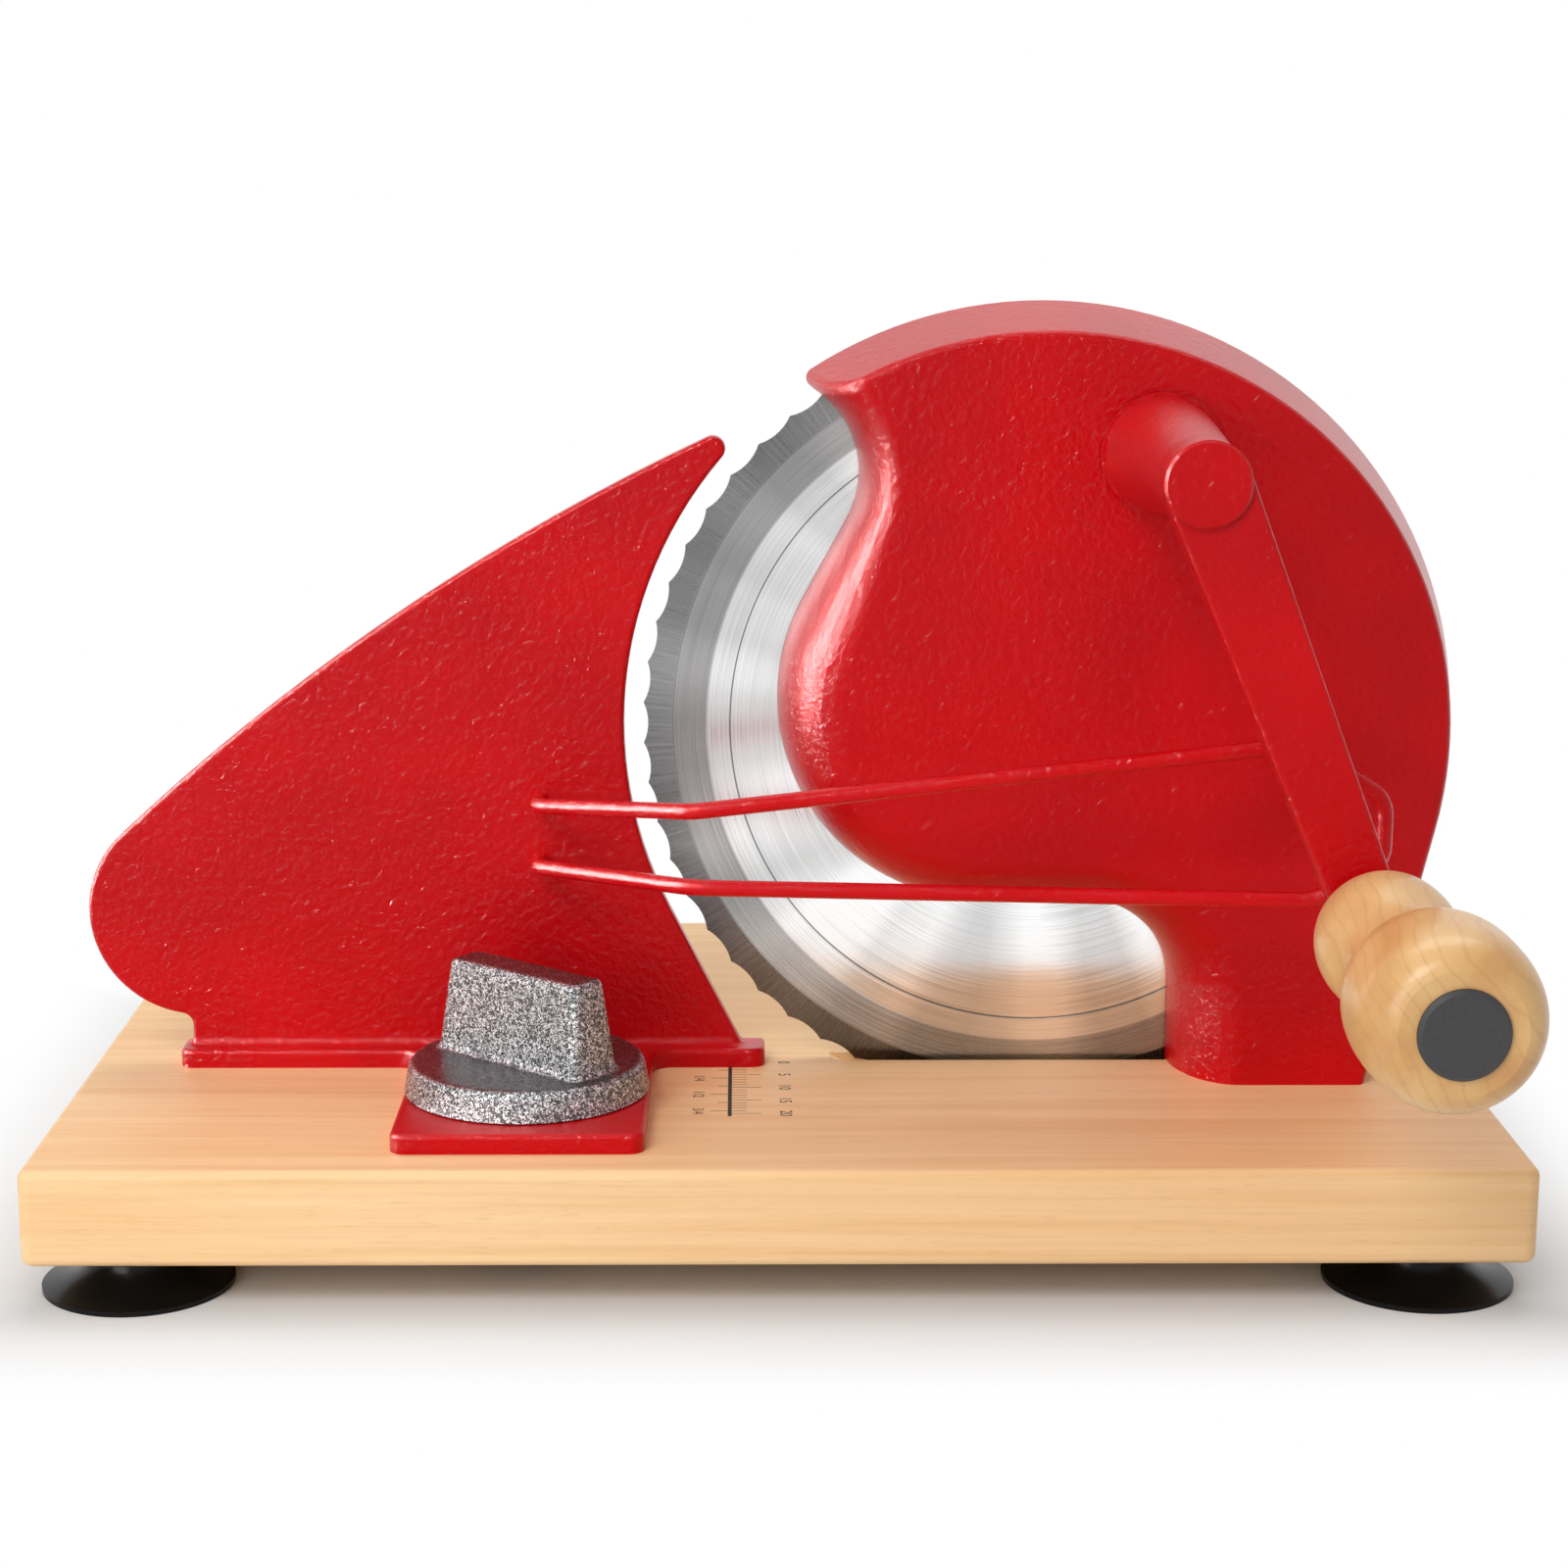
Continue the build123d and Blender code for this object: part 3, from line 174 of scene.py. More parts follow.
def begin(name):
    """A material ready for its nodes, and the piece's own coordinates that its patterns follow."""
    material = bpy.data.materials.new(name)
    material.use_nodes = True
    material.node_tree.nodes.clear()
    return material, material.node_tree, add(material.node_tree, "TexCoord").outputs["Object"]


# ---------------------------------------------------------------- finishes
def enamel(name, colour, deep, peel, shine):
    """Gloss powder coat cured on an aluminium casting: it flows into soft orange-peel waves, so a
    highlight on a curve softens and wavers while the flats stay deep and even. The coat's waves
    are drawn deeper than real ones, which are too shallow to show."""
    material, tree, place = begin(name)
    waves = add(tree, "TexNoise", {"Vector": place, "Scale": 1 / peel, "Detail": 1.5, "Roughness": 0.45,
                                   "Distortion": 0.6})
    pores = add(tree, "TexNoise", {"Vector": place, "Scale": 5 / peel, "Detail": 2.0})
    clouds = add(tree, "TexNoise", {"Vector": place, "Scale": 1 / 0.045, "Detail": 2.0})
    skin = add(tree, "Math", {0: pores, 1: 0.25, 2: waves}, operation="MULTIPLY_ADD")
    thick = add(tree, "MapRange", {"Value": clouds, "From Min": 0.35, "From Max": 0.65})
    dull = add(tree, "MapRange", {"Value": pores, "From Min": 0.3, "From Max": 0.7, "To Min": shine,
                                  "To Max": shine + 0.08})
    add(tree, "OutputMaterial", {"Surface": add(tree, "BsdfPrincipled", {
        "Base Color": add(tree, "Mix", {0: thick, 6: deep, 7: colour}, data_type="RGBA"),
        "Roughness": dull,
        "IOR": 1.5,
        "Specular IOR Level": 0.3,
        "Specular Tint": (1.0, 0.05, 0.05, 1.0),
        "Coat Weight": 0.34,
        "Coat Roughness": 0.05,
        "Coat IOR": 1.4,
        "Normal": add(tree, "Bump", {"Height": skin, "Distance": 0.00012, "Strength": 0.5}),
        "Coat Normal": add(tree, "Bump", {"Height": skin, "Distance": 0.0007, "Strength": 1.0})})})
    return material


def brushed_blade():
    """Rolled stainless steel, turned on its axis under a brush: hair-fine rings round the centre
    that draw each light out into a bright sector. Broad bright and dark sectors round the axis
    are also painted into its colour, as painted highlight and painted shade. The bevel was
    ground across, so it has short radial strokes, and the band inside it is duller than the
    polished middle. Real brush lines are too fine to show, so the rings here are 0.4 mm wide."""
    material, tree, place = begin("blade_steel_brushed")
    arm = add(tree, "VectorMath", {0: place, 1: (-blade_axis.x, 0.0, -blade_axis.z)}, operation="ADD")
    parts = add(tree, "SeparateXYZ", {0: arm})
    flat = add(tree, "CombineXYZ", {0: parts.outputs["X"], 2: parts.outputs["Z"]})
    radius = add(tree, "VectorMath", {0: flat}, operation="LENGTH")
    to_left = add(tree, "Math", {0: parts.outputs["X"], 1: -1.0}, operation="MULTIPLY")
    angle = add(tree, "Math", {0: parts.outputs["Z"], 1: to_left}, operation="ARCTAN2")
    polar = add(tree, "CombineXYZ", {0: radius, 1: angle})
    ring_lines = add(tree, "TexNoise", {"Scale": 1.0, "Detail": 3.0, "Vector": add(tree, "Mapping", {
        "Vector": polar, "Scale": (1 / 0.0004, 1.4, 1.0)})})
    strokes = add(tree, "TexNoise", {"Scale": 1.0, "Detail": 3.0, "Roughness": 0.6, "Vector": add(
        tree, "Mapping", {"Vector": polar, "Scale": (1 / 0.03, 1 / 0.009, 1.0)})})
    # painted highlight and painted shade: broad bright and dark sectors round the axis, multiplied into the
    # colour below
    painted_sheen_sectors = add(tree, "TexNoise", {"Scale": 1.0, "Detail": 1.5, "Vector": add(tree, "Mapping", {
        "Vector": polar, "Scale": (6.0, 2.6, 1.0), "Location": (0.3, 1.7, 0.0)})})
    inner, outer = blade_rings[0][0], blade_rings[-1][0]
    band = add(tree, "MapRange", {"Value": radius, "From Min": inner * millimetre,
                                  "From Max": outer * millimetre})
    tone = add(tree, "ValToRGB", {0: band}, stops=[((ring - inner) / (outer - inner), grey(value))
                                                   for ring, value in blade_rings])
    on_bevel = add(tree, "MapRange", {"Value": radius, "From Min": bevel_begins[0],
                                      "From Max": bevel_begins[1]})
    marks = add(tree, "Mix", {0: on_bevel, 2: ring_lines, 3: strokes}, data_type="FLOAT")
    depth = add(tree, "MapRange", {"Value": marks, "From Min": 0.3, "From Max": 0.7})
    light = add(tree, "MapRange", {"Value": painted_sheen_sectors, "From Min": 0.38, "From Max": 0.62})
    # first the brush marks' own tone, then the painted highlight and painted shade of the sectors
    for figure, dark, bright in ((depth, 0.82, 1.12), (light, 0.72, 1.15)):
        shade = add(tree, "Mix", {0: figure, 6: grey(dark), 7: grey(bright)}, data_type="RGBA")
        tone = add(tree, "Mix", {0: 1.0, 6: tone, 7: shade}, data_type="RGBA", blend_type="MULTIPLY")
    dull = add(tree, "MapRange", {"Value": radius, "From Min": polish_ends[0], "From Max": polish_ends[1]})
    around = add(tree, "VectorMath", {0: flat, 1: (0.0, 1.0, 0.0)}, operation="CROSS_PRODUCT")
    add(tree, "OutputMaterial", {"Surface": add(tree, "BsdfPrincipled", {
        "Base Color": tone,
        "Metallic": 1.0,
        "Roughness": add(tree, "Math", {0: dull, 1: 0.1, 2: add(tree, "MapRange", {
            "Value": depth, "To Min": 0.13, "To Max": 0.22})}, operation="MULTIPLY_ADD"),
        "Anisotropic": 0.8,
        "Tangent": add(tree, "VectorTransform", {0: around}, vector_type="VECTOR", convert_from="OBJECT",
                       convert_to="WORLD"),
        "Normal": add(tree, "Bump", {"Height": marks, "Distance": 0.00001, "Strength": 0.3})})})
    return material


def stained(tree, ground, layers):
    """The colour of a wood: over the ground, one colour after another, each where its figure is
    above a start, full from its end on, and never covering more than its share."""
    for figure, start, end, share, colour in layers:
        cover = add(tree, "MapRange", {"Value": figure, "From Min": start, "From Max": end, "To Max": share})
        ground = add(tree, "Mix", {0: cover, 6: ground, 7: colour}, data_type="RGBA")
    return ground


def beech(colours, grain):
    """Planed beech under a thin satin lacquer: pale, straight grain along the board, soft growth
    rings and fine dark rays, so the face is calm and only the rings show from a step away. Fibres
    and rays are finer in the real wood, and are drawn 0.7 and 0.5 mm wide to show."""
    material, tree, place = begin("beech_lacquered")
    ring_lines = add(tree, "TexNoise", {"Scale": 1 / grain, "Detail": 4.0, "Distortion": 0.3, "Vector": add(
        tree, "Mapping", {"Vector": place, "Scale": (0.035, 1.0, 1.5)})})
    fibre = add(tree, "TexNoise", {"Scale": 1 / 0.0007, "Detail": 3.0, "Vector": add(tree, "Mapping", {
        "Vector": place, "Scale": (0.02, 1.0, 1.0)})})
    warmth = add(tree, "TexNoise", {"Scale": 1 / 0.06, "Detail": 2.0, "Vector": add(tree, "Mapping", {
        "Vector": place, "Scale": (0.25, 1.0, 1.0)})})
    rays = add(tree, "TexNoise", {"Scale": 1 / 0.0005, "Detail": 1.0, "Vector": add(tree, "Mapping", {
        "Vector": place, "Scale": (0.08, 1.0, 0.7)})})
    ground = stained(tree, colours.beech_pale, (
        (ring_lines, 0.38, 0.66, 0.75, colours.beech_warm),
        (fibre, 0.5, 0.8, 0.22, colours.beech_fleck),
        (rays, 0.62, 0.74, 0.16, colours.beech_fleck),
        (warmth, 0.42, 0.72, 0.3, linear("E4AF72"))))
    add(tree, "OutputMaterial", {"Surface": add(tree, "BsdfPrincipled", {
        "Base Color": ground,
        "Roughness": add(tree, "MapRange", {"Value": fibre, "From Min": 0.3, "From Max": 0.7, "To Min": 0.44,
                                            "To Max": 0.56}),
        "IOR": 1.5,
        "Specular IOR Level": 0.35,
        "Coat Weight": 0.08,
        "Coat Roughness": 0.3,
        "Normal": add(tree, "Bump", {"Height": fibre, "Distance": 0.00003, "Strength": 0.4})})})
    return material


def grip_wood(colours):
    """Turned hardwood under clear lacquer: a pale honey ground, fine reddish growth lines that run
    along the grip and close into arcs where the bulbs cut through them, and a few redder patches.
    The fibres are drawn 0.8 mm wide, because real ones are too fine to show."""
    material, tree, place = begin("grip_wood_lacquered")
    arm = add(tree, "VectorMath", {0: place, 1: (-grip_axis.x, -grip_axis.y, -grip_axis.z)}, operation="ADD")
    turned = add(tree, "Mapping", {"Vector": arm, "Rotation": (0.28, 0.5, 0.42)})
    bend = add(tree, "TexNoise", {"Scale": 1 / 0.03, "Detail": 2.0, "Vector": turned})
    sway = add(tree, "VectorMath", {0: bend.outputs["Color"], 1: (0.5, 0.5, 0.5)}, operation="SUBTRACT")
    flow = add(tree, "VectorMath", {0: sway, 1: (0.016, 0.006, 0.016), 2: turned}, operation="MULTIPLY_ADD")
    years = add(tree, "TexWave", {"Vector": flow, "Scale": 1 / 0.011, "Distortion": 2.2, "Detail": 2.0,
                                  "Detail Scale": 1.2}, wave_type="BANDS", bands_direction="X")
    fibre = add(tree, "TexNoise", {"Scale": 1 / 0.0008, "Detail": 3.0, "Vector": add(tree, "Mapping", {
        "Vector": flow, "Scale": (1.0, 0.07, 1.0)})})
    clouds = add(tree, "TexNoise", {"Scale": 1 / 0.014, "Detail": 2.5, "Vector": add(tree, "Mapping", {
        "Vector": turned, "Scale": (1.0, 0.45, 1.0), "Location": (0.02, 0.0, 0.01)})})
    ground = stained(tree, colours.grip_pale, (
        (clouds, 0.3, 0.6, 1.0, linear("D0A062")),
        (years, 0.86, 1.0, 0.28, colours.grip_streak),
        (clouds, 0.55, 0.70, 0.5, colours.grip_streak),
        (fibre, 0.55, 0.8, 0.25, colours.grip_streak)))
    add(tree, "OutputMaterial", {"Surface": add(tree, "BsdfPrincipled", {
        "Base Color": ground,
        "Roughness": 0.42,
        "IOR": 1.5,
        "Specular IOR Level": 0.4,
        "Coat Weight": 0.35,
        "Coat Roughness": 0.16,
        "Normal": add(tree, "Bump", {"Height": fibre, "Distance": 0.00003, "Strength": 0.4}),
        "Coat Normal": add(tree, "Bump", {"Height": clouds, "Distance": 0.0001, "Strength": 0.3})})})
    return material


def hammertone(colours, size):
    """Zinc die casting with a hammertone coat: the lacquer pulls back into small worm-shaped
    hollows with bright flake on their crests; where it lay level, on the tops, it flowed smooth."""
    material, tree, place = begin("zinc_hammertone")
    upright = add(tree, "SeparateXYZ", {0: add(tree, "TexCoord").outputs["Normal"]}).outputs["Z"]
    level = add(tree, "MapRange", {"Value": upright, "From Min": 0.8, "From Max": 0.97, "To Min": 1.0,
                                   "To Max": 0.18})
    worms = add(tree, "TexNoise", {"Vector": place, "Scale": 1 / size, "Detail": 1.0, "Roughness": 0.4,
                                   "Distortion": 1.6})
    grit = add(tree, "TexNoise", {"Vector": place, "Scale": 3 / size, "Detail": 2.0})
    crests = add(tree, "Math", {0: grit, 1: 0.25, 2: worms}, operation="MULTIPLY_ADD")
    mask = add(tree, "Math", {0: add(tree, "MapRange", {"Value": crests, "From Min": 0.64, "From Max": 0.72}),
                              1: level}, operation="MULTIPLY")
    relief = add(tree, "Math", {0: crests, 1: level}, operation="MULTIPLY")
    add(tree, "OutputMaterial", {"Surface": add(tree, "BsdfPrincipled", {
        "Base Color": add(tree, "Mix", {0: mask, 6: colours.hammer_ground, 7: colours.hammer_fleck},
                          data_type="RGBA"),
        "Metallic": 0.92,
        "Roughness": add(tree, "MapRange", {"Value": mask, "To Min": 0.26, "To Max": 0.36}),
        "Normal": add(tree, "Bump", {"Height": relief, "Distance": 0.0003, "Strength": 0.8})})})
    return material


def rubber(colours):
    """Moulded soft rubber: near black, glossy from its polished mould, with a faint even bloom."""
    material, tree, place = begin("rubber_moulded")
    bloom = add(tree, "TexNoise", {"Vector": place, "Scale": 1 / 0.02, "Detail": 1.0})
    fine = add(tree, "TexNoise", {"Vector": place, "Scale": 1 / 0.0005, "Detail": 2.0})
    spots = add(tree, "MapRange", {"Value": bloom, "From Min": 0.3, "From Max": 0.7})
    add(tree, "OutputMaterial", {"Surface": add(tree, "BsdfPrincipled", {
        "Base Color": add(tree, "Mix", {0: spots, 6: colours.rubber, 7: linear("0B0B0C")}, data_type="RGBA"),
        "Roughness": add(tree, "MapRange", {"Value": spots, "To Min": 0.22, "To Max": 0.27}),
        "IOR": 1.52,
        "Specular IOR Level": 0.2,
        "Normal": add(tree, "Bump", {"Height": fine, "Distance": 0.000006, "Strength": 0.3})})})
    return material


def cap_plastic(colours):
    """Injection-moulded nylon cap from a spark-eroded mould: dark grey, fine even grain, matt.
    The real grain is too fine to show and is drawn 0.4 mm wide."""
    material, tree, place = begin("nylon_cap_grained")
    grain = add(tree, "TexNoise", {"Vector": place, "Scale": 1 / 0.0004, "Detail": 2.0})
    pits = add(tree, "MapRange", {"Value": grain, "From Min": 0.35, "From Max": 0.65})
    add(tree, "OutputMaterial", {"Surface": add(tree, "BsdfPrincipled", {
        "Base Color": add(tree, "Mix", {0: pits, 6: linear("2C2C2E"), 7: colours.cap}, data_type="RGBA"),
        "Roughness": add(tree, "MapRange", {"Value": pits, "To Min": 0.48, "To Max": 0.6}),
        "IOR": 1.53,
        "Normal": add(tree, "Bump", {"Height": grain, "Distance": 0.00005, "Strength": 0.6})})})
    return material


def gear_nylon():
    """Milled cast nylon: ivory, slightly waxy, with cutter marks, drawn 0.5 mm wide to show."""
    material, tree, place = begin("nylon_gear_milled")
    marks = add(tree, "TexNoise", {"Scale": 1 / 0.0005, "Detail": 2.0, "Vector": add(tree, "Mapping", {
        "Vector": place, "Scale": (1.0, 0.125, 1.0)})})
    clouds = add(tree, "TexNoise", {"Vector": place, "Scale": 1 / 0.01, "Detail": 2.0})
    waxy = add(tree, "MapRange", {"Value": clouds, "From Min": 0.3, "From Max": 0.7})
    add(tree, "OutputMaterial", {"Surface": add(tree, "BsdfPrincipled", {
        "Base Color": add(tree, "Mix", {0: waxy, 6: linear("E3DDC8"), 7: linear("EFEBDC")}, data_type="RGBA"),
        "Roughness": add(tree, "MapRange", {"Value": marks, "From Min": 0.3, "From Max": 0.7, "To Min": 0.38,
                                            "To Max": 0.5}),
        "IOR": 1.53,
        "Subsurface Weight": 0.08,
        "Subsurface Radius": (0.002, 0.0016, 0.001),
        "Normal": add(tree, "Bump", {"Height": marks, "Distance": 0.00003, "Strength": 0.5})})})
    return material


def machined(name, low, high, roughness):
    """Turned or hobbed metal: fine tool marks across the axis and a slightly uneven tone. The
    marks are drawn 0.3 mm wide, because real ones are too fine to show."""
    material, tree, place = begin(name)
    marks = add(tree, "TexNoise", {"Scale": 1 / 0.0003, "Detail": 2.0, "Vector": add(tree, "Mapping", {
        "Vector": place, "Scale": (0.1, 1.0, 0.1)})})
    clouds = add(tree, "TexNoise", {"Vector": place, "Scale": 1 / 0.005, "Detail": 3.0})
    worn = add(tree, "MapRange", {"Value": clouds, "From Min": 0.3, "From Max": 0.7})
    add(tree, "OutputMaterial", {"Surface": add(tree, "BsdfPrincipled", {
        "Base Color": add(tree, "Mix", {0: worn, 6: linear(low), 7: linear(high)}, data_type="RGBA"),
        "Metallic": 1.0,
        "Roughness": add(tree, "MapRange", {"Value": marks, "From Min": 0.3, "From Max": 0.7,
                                            "To Min": roughness, "To Max": roughness + 0.14}),
        "Normal": add(tree, "Bump", {"Height": marks, "Distance": 0.00002, "Strength": 0.5})})})
    return material


def printed_ink(colours):
    """Pad-printed ink on wood: near black, slightly broken where the grain dips."""
    material, tree, place = begin("ink_printed")
    dips = add(tree, "TexNoise", {"Scale": 1 / 0.0007, "Detail": 3.0, "Vector": add(tree, "Mapping", {
        "Vector": place, "Scale": (0.16, 1.0, 1.0)})})
    worn = add(tree, "MapRange", {"Value": dips, "From Min": 0.62, "From Max": 0.8, "To Max": 0.5})
    add(tree, "OutputMaterial", {"Surface": add(tree, "BsdfPrincipled", {
        "Base Color": add(tree, "Mix", {0: worn, 6: colours.ink, 7: linear("7A5A3C")}, data_type="RGBA"),
        "Roughness": add(tree, "MapRange", {"Value": dips, "From Min": 0.3, "From Max": 0.7, "To Min": 0.55,
                                            "To Max": 0.7}),
        "IOR": 1.48})})
    return material


# ---------------------------------------------------------------- placing finishes and pieces
def dress(node, material):
    """Gives a node of the frame its finish."""
    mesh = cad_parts[node].data
    mesh.materials.clear()
    mesh.materials.append(material)


def place_piece(name, form, material, body):
    """Makes an object of a bmesh, at the origin with its place in its mesh, riding on a body."""
    mesh = bpy.data.meshes.new(name)
    form.to_mesh(mesh)
    form.free()
    piece = bpy.data.objects.new(name, mesh)
    bpy.context.scene.collection.objects.link(piece)
    mesh.materials.append(material)
    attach(piece, body)
    return piece


def settings():
    """The colours and sizes that a user may change."""
    return bpy.context.scene.slicer_colours, bpy.context.scene.slicer_sizes


class SLICER_OT_board(bpy.types.Operator):
    """Beech board, its studs and screws, and the four suction feet"""
    bl_idname = "slicer.board"
    bl_label = "Board and feet"

    def execute(self, context):
        colours, sizes = settings()
        dress("board", beech(colours, sizes.grain))
        feet = rubber(colours)
        for foot in ("foot_front_left", "foot_front_right", "foot_rear_left", "foot_rear_right"):
            dress(foot, feet)
        plated = machined("steel_zinc_plated", "9FA3A6", "C2C5C6", 0.28)
        for node in ("foot_studs", "housing_screws"):
            dress(node, plated)
        return {"FINISHED"}


def strip(form, low, high, bottom, top):
    """Adds a flat bar between two corners."""
    size = Vector((high[0] - low[0], high[1] - low[1], top - bottom))
    middle = Vector(((low[0] + high[0]) / 2, (low[1] + high[1]) / 2, (bottom + top) / 2))
    bmesh.ops.create_cube(form, size=1.0, matrix=Matrix.Translation(middle) @ Matrix.Diagonal((*size, 1.0)))


def add_label(form, words, at, height, bottom, thickness):
    """Adds a number lying on the board, its foot towards -X."""
    curve = bpy.data.curves.new(words, "FONT")
    curve.body = words
    curve.size = height / digit_share_of_font
    curve.extrude = thickness / 2
    curve.align_x = "CENTER"
    curve.align_y = "CENTER"
    curve.resolution_u = 3
    label = bpy.data.objects.new(words, curve)
    bpy.context.scene.collection.objects.link(label)
    flat = bpy.data.meshes.new_from_object(label.evaluated_get(bpy.context.evaluated_depsgraph_get()))
    lying = Matrix.Translation((at[0], at[1], bottom + thickness / 2))
    flat.transform(lying @ Matrix.Rotation(-pi / 2, 4, "Z"))
    form.from_mesh(flat)
    bpy.data.objects.remove(label)
    bpy.data.curves.remove(curve)
    bpy.data.meshes.remove(flat)


class SLICER_OT_scale(bpy.types.Operator):
    """Printed thickness scale beside the stop plate"""
    bl_idname = "slicer.scale"
    bl_label = "Printed scale"

    def execute(self, context):
        colours, sizes = settings()
        ink = printed_ink(colours)
        bottom = board_top
        top = board_top + sizes.ink_thickness
        x, zero = scale_zero
        half = sizes.line_width / 2
        end = zero - (scale_units + 1) * sizes.unit_step
        lines = bmesh.new()
        strip(lines, (x - half, end), (x + half, zero), bottom, top)
        for step in range(scale_units + 1):
            y = zero - step * sizes.unit_step
            reach = sizes.long_mark if step % 5 == 0 else sizes.short_mark
            strip(lines, (x + half, y - sizes.mark_width / 2), (x + half + reach, y + sizes.mark_width / 2),
                  bottom, top)
        for step in range(scale_eighths + 1):
            y = zero - step * sizes.quarter_step / 2
            reach = (sizes.long_mark * quarter_mark_share if step % 2 == 0
                     else sizes.short_mark * eighth_mark_share)
            strip(lines, (x - half - reach, y - sizes.mark_width / 2), (x - half, y + sizes.mark_width / 2),
                  bottom, top)
        place_piece("scale_lines", lines, ink, "base")
        numbers = bmesh.new()
        for step in range(0, scale_units + 1, 5):
            add_label(numbers, str(step), (x + number_gap, zero - step * sizes.unit_step),
                      sizes.label_height, bottom, sizes.ink_thickness)
        for step, words in ((1, "1/4"), (2, "1/2"), (3, "3/4")):
            add_label(numbers, words, (x - fraction_gap, zero - step * sizes.quarter_step),
                      sizes.label_height * fraction_height_share, bottom, sizes.ink_thickness)
        place_piece("scale_numbers", numbers, ink, "base")
        return {"FINISHED"}


class SLICER_OT_castings(bpy.types.Operator):
    """Enamelled castings: gear housing, stop plate, crank arm and its cap"""
    bl_idname = "slicer.castings"
    bl_label = "Castings"

    def execute(self, context):
        colours, sizes = settings()
        coat = enamel("enamel_red_cast", colours.enamel, colours.enamel_deep, sizes.peel, 0.3)
        for node in ("stop_plate", "crank_arm", "hub_cap", "gear_housing"):
            dress(node, coat)
        form = bmesh.new()
        form.from_mesh(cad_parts["gear_housing"].data)
        bmesh.ops.remove_doubles(form, verts=form.verts, dist=0.000002)
        bmesh.ops.recalc_face_normals(form, faces=form.faces)
        skin = place_piece("housing_skin", form, coat, "base")
        skin.data.shade_smooth()
        skin.data.set_sharp_from_angle(angle=radians(32))
        even = skin.modifiers.new("even_normals", "WEIGHTED_NORMAL")
        even.keep_sharp = True
        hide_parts("gear_housing")
        return {"FINISHED"}


class SLICER_OT_guard(bpy.types.Operator):
    """Dip-coated wire guard"""
    bl_idname = "slicer.guard"
    bl_label = "Wire guard"

    def execute(self, context):
        colours, sizes = settings()
        dress("wire_guard", enamel("enamel_red_dipped", colours.wire_coat, colours.enamel, sizes.peel, 0.22))
        return {"FINISHED"}


class SLICER_OT_blade(bpy.types.Operator):
    """Brushed blade and the parts that hold it"""
    bl_idname = "slicer.blade"
    bl_label = "Blade"

    def execute(self, context):
        dress("blade", brushed_blade())
        bright = machined("steel_turned", "B4B7BA", "D2D4D5", 0.2)
        for node in ("blade_screws", "blade_axle", "retainer_washer", "retainer_screw"):
            dress(node, bright)
        return {"FINISHED"}


class SLICER_OT_gears(bpy.types.Operator):
    """Gear train with its axles, bushes and clips"""
    bl_idname = "slicer.gears"
    bl_label = "Gear train"

    def execute(self, context):
        nylon = gear_nylon()
        for node in ("blade_gear", "idler_gear"):
            dress(node, nylon)
        dress("crank_pinion", machined("steel_hobbed", "8C8F92", "B0B3B5", 0.3))
        bronze = machined("bronze_sintered", "9A6B35", "BA8A4C", 0.38)
        for node in ("blade_bushing", "crank_bushing"):
            dress(node, bronze)
        ground = machined("steel_ground", "A9ACAF", "CDD0D1", 0.18)
        for node in ("idler_axle", "crank_shaft", "idler_clip", "shaft_clip"):
            dress(node, ground)
        return {"FINISHED"}


class SLICER_OT_grip(bpy.types.Operator):
    """Turned grip with its spindle and cap"""
    bl_idname = "slicer.grip"
    bl_label = "Crank grip"

    def execute(self, context):
        colours = context.scene.slicer_colours
        dress("grip", grip_wood(colours))
        dress("grip_cap", cap_plastic(colours))
        plated = machined("steel_zinc_spindle", "A3A6A8", "C6C8C9", 0.26)
        for node in ("grip_spindle", "spindle_nut", "arm_screw"):
            dress(node, plated)
        return {"FINISHED"}


class SLICER_OT_knob(bpy.types.Operator):
    """Clamping knob with its stud and nut"""
    bl_idname = "slicer.knob"
    bl_label = "Clamping knob"

    def execute(self, context):
        colours, sizes = settings()
        dress("clamp_knob", hammertone(colours, sizes.hammer))
        dress("clamp_stud", machined("steel_stud", "9A9DA0", "BFC2C3", 0.3))
        dress("clamp_nut", machined("brass_milled", "B08A42", "D0AC62", 0.28))
        return {"FINISHED"}


# ---------------------------------------------------------------- studio
def paper_floor():
    """Matt white paper: it takes the object's shadow beside the board and is plain white further
    off, both for the camera and for what mirrors it, while it throws back a plain paper's light."""
    paper = bpy.data.materials.new("paper_floor")
    paper.use_nodes = True
    tree = paper.node_tree
    tree.nodes.clear()
    path = add(tree, "LightPath")
    place = add(tree, "TexCoord").outputs["Object"]
    shown = add(tree, "Math", {0: path.outputs["Is Camera Ray"], 1: add(tree, "Math", {
        0: path.outputs["Is Glossy Ray"], 1: path.outputs["Is Transmission Ray"]},
        operation="MAXIMUM")}, operation="MAXIMUM")
    fibre = add(tree, "TexNoise", {"Vector": place, "Scale": 1 / 0.004})
    matt = add(tree, "BsdfDiffuse", {"Color": add(tree, "Mix", {0: fibre, 6: grey(0.77), 7: grey(0.81)},
                                                  data_type="RGBA")})
    low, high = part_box("board")
    middle = (low + high) / 2
    past = add(tree, "VectorMath", {0: add(tree, "VectorMath", {0: place, 1: (middle.x, middle.y, 0.0)},
                                           operation="SUBTRACT")}, operation="ABSOLUTE")
    past = add(tree, "SeparateXYZ", {0: add(tree, "VectorMath", {
        0: past, 1: (high.x - middle.x, high.y - middle.y, 0.0)}, operation="SUBTRACT")})
    past = add(tree, "Math", {0: past.outputs["X"], 1: past.outputs["Y"]}, operation="MAXIMUM")
    far = add(tree, "MapRange", {"Value": past, "From Min": -0.01, "From Max": 0.05},
              interpolation_type="SMOOTHSTEP")
    backdrop = add(tree, "MixShader", {0: far, 1: add(tree, "BsdfDiffuse", {"Color": grey(0.72)}),
                                       2: add(tree, "Emission", {"Strength": 1.0})})
    add(tree, "OutputMaterial", {"Surface": add(tree, "MixShader", {0: shown, 1: matt, 2: backdrop})})
    return paper


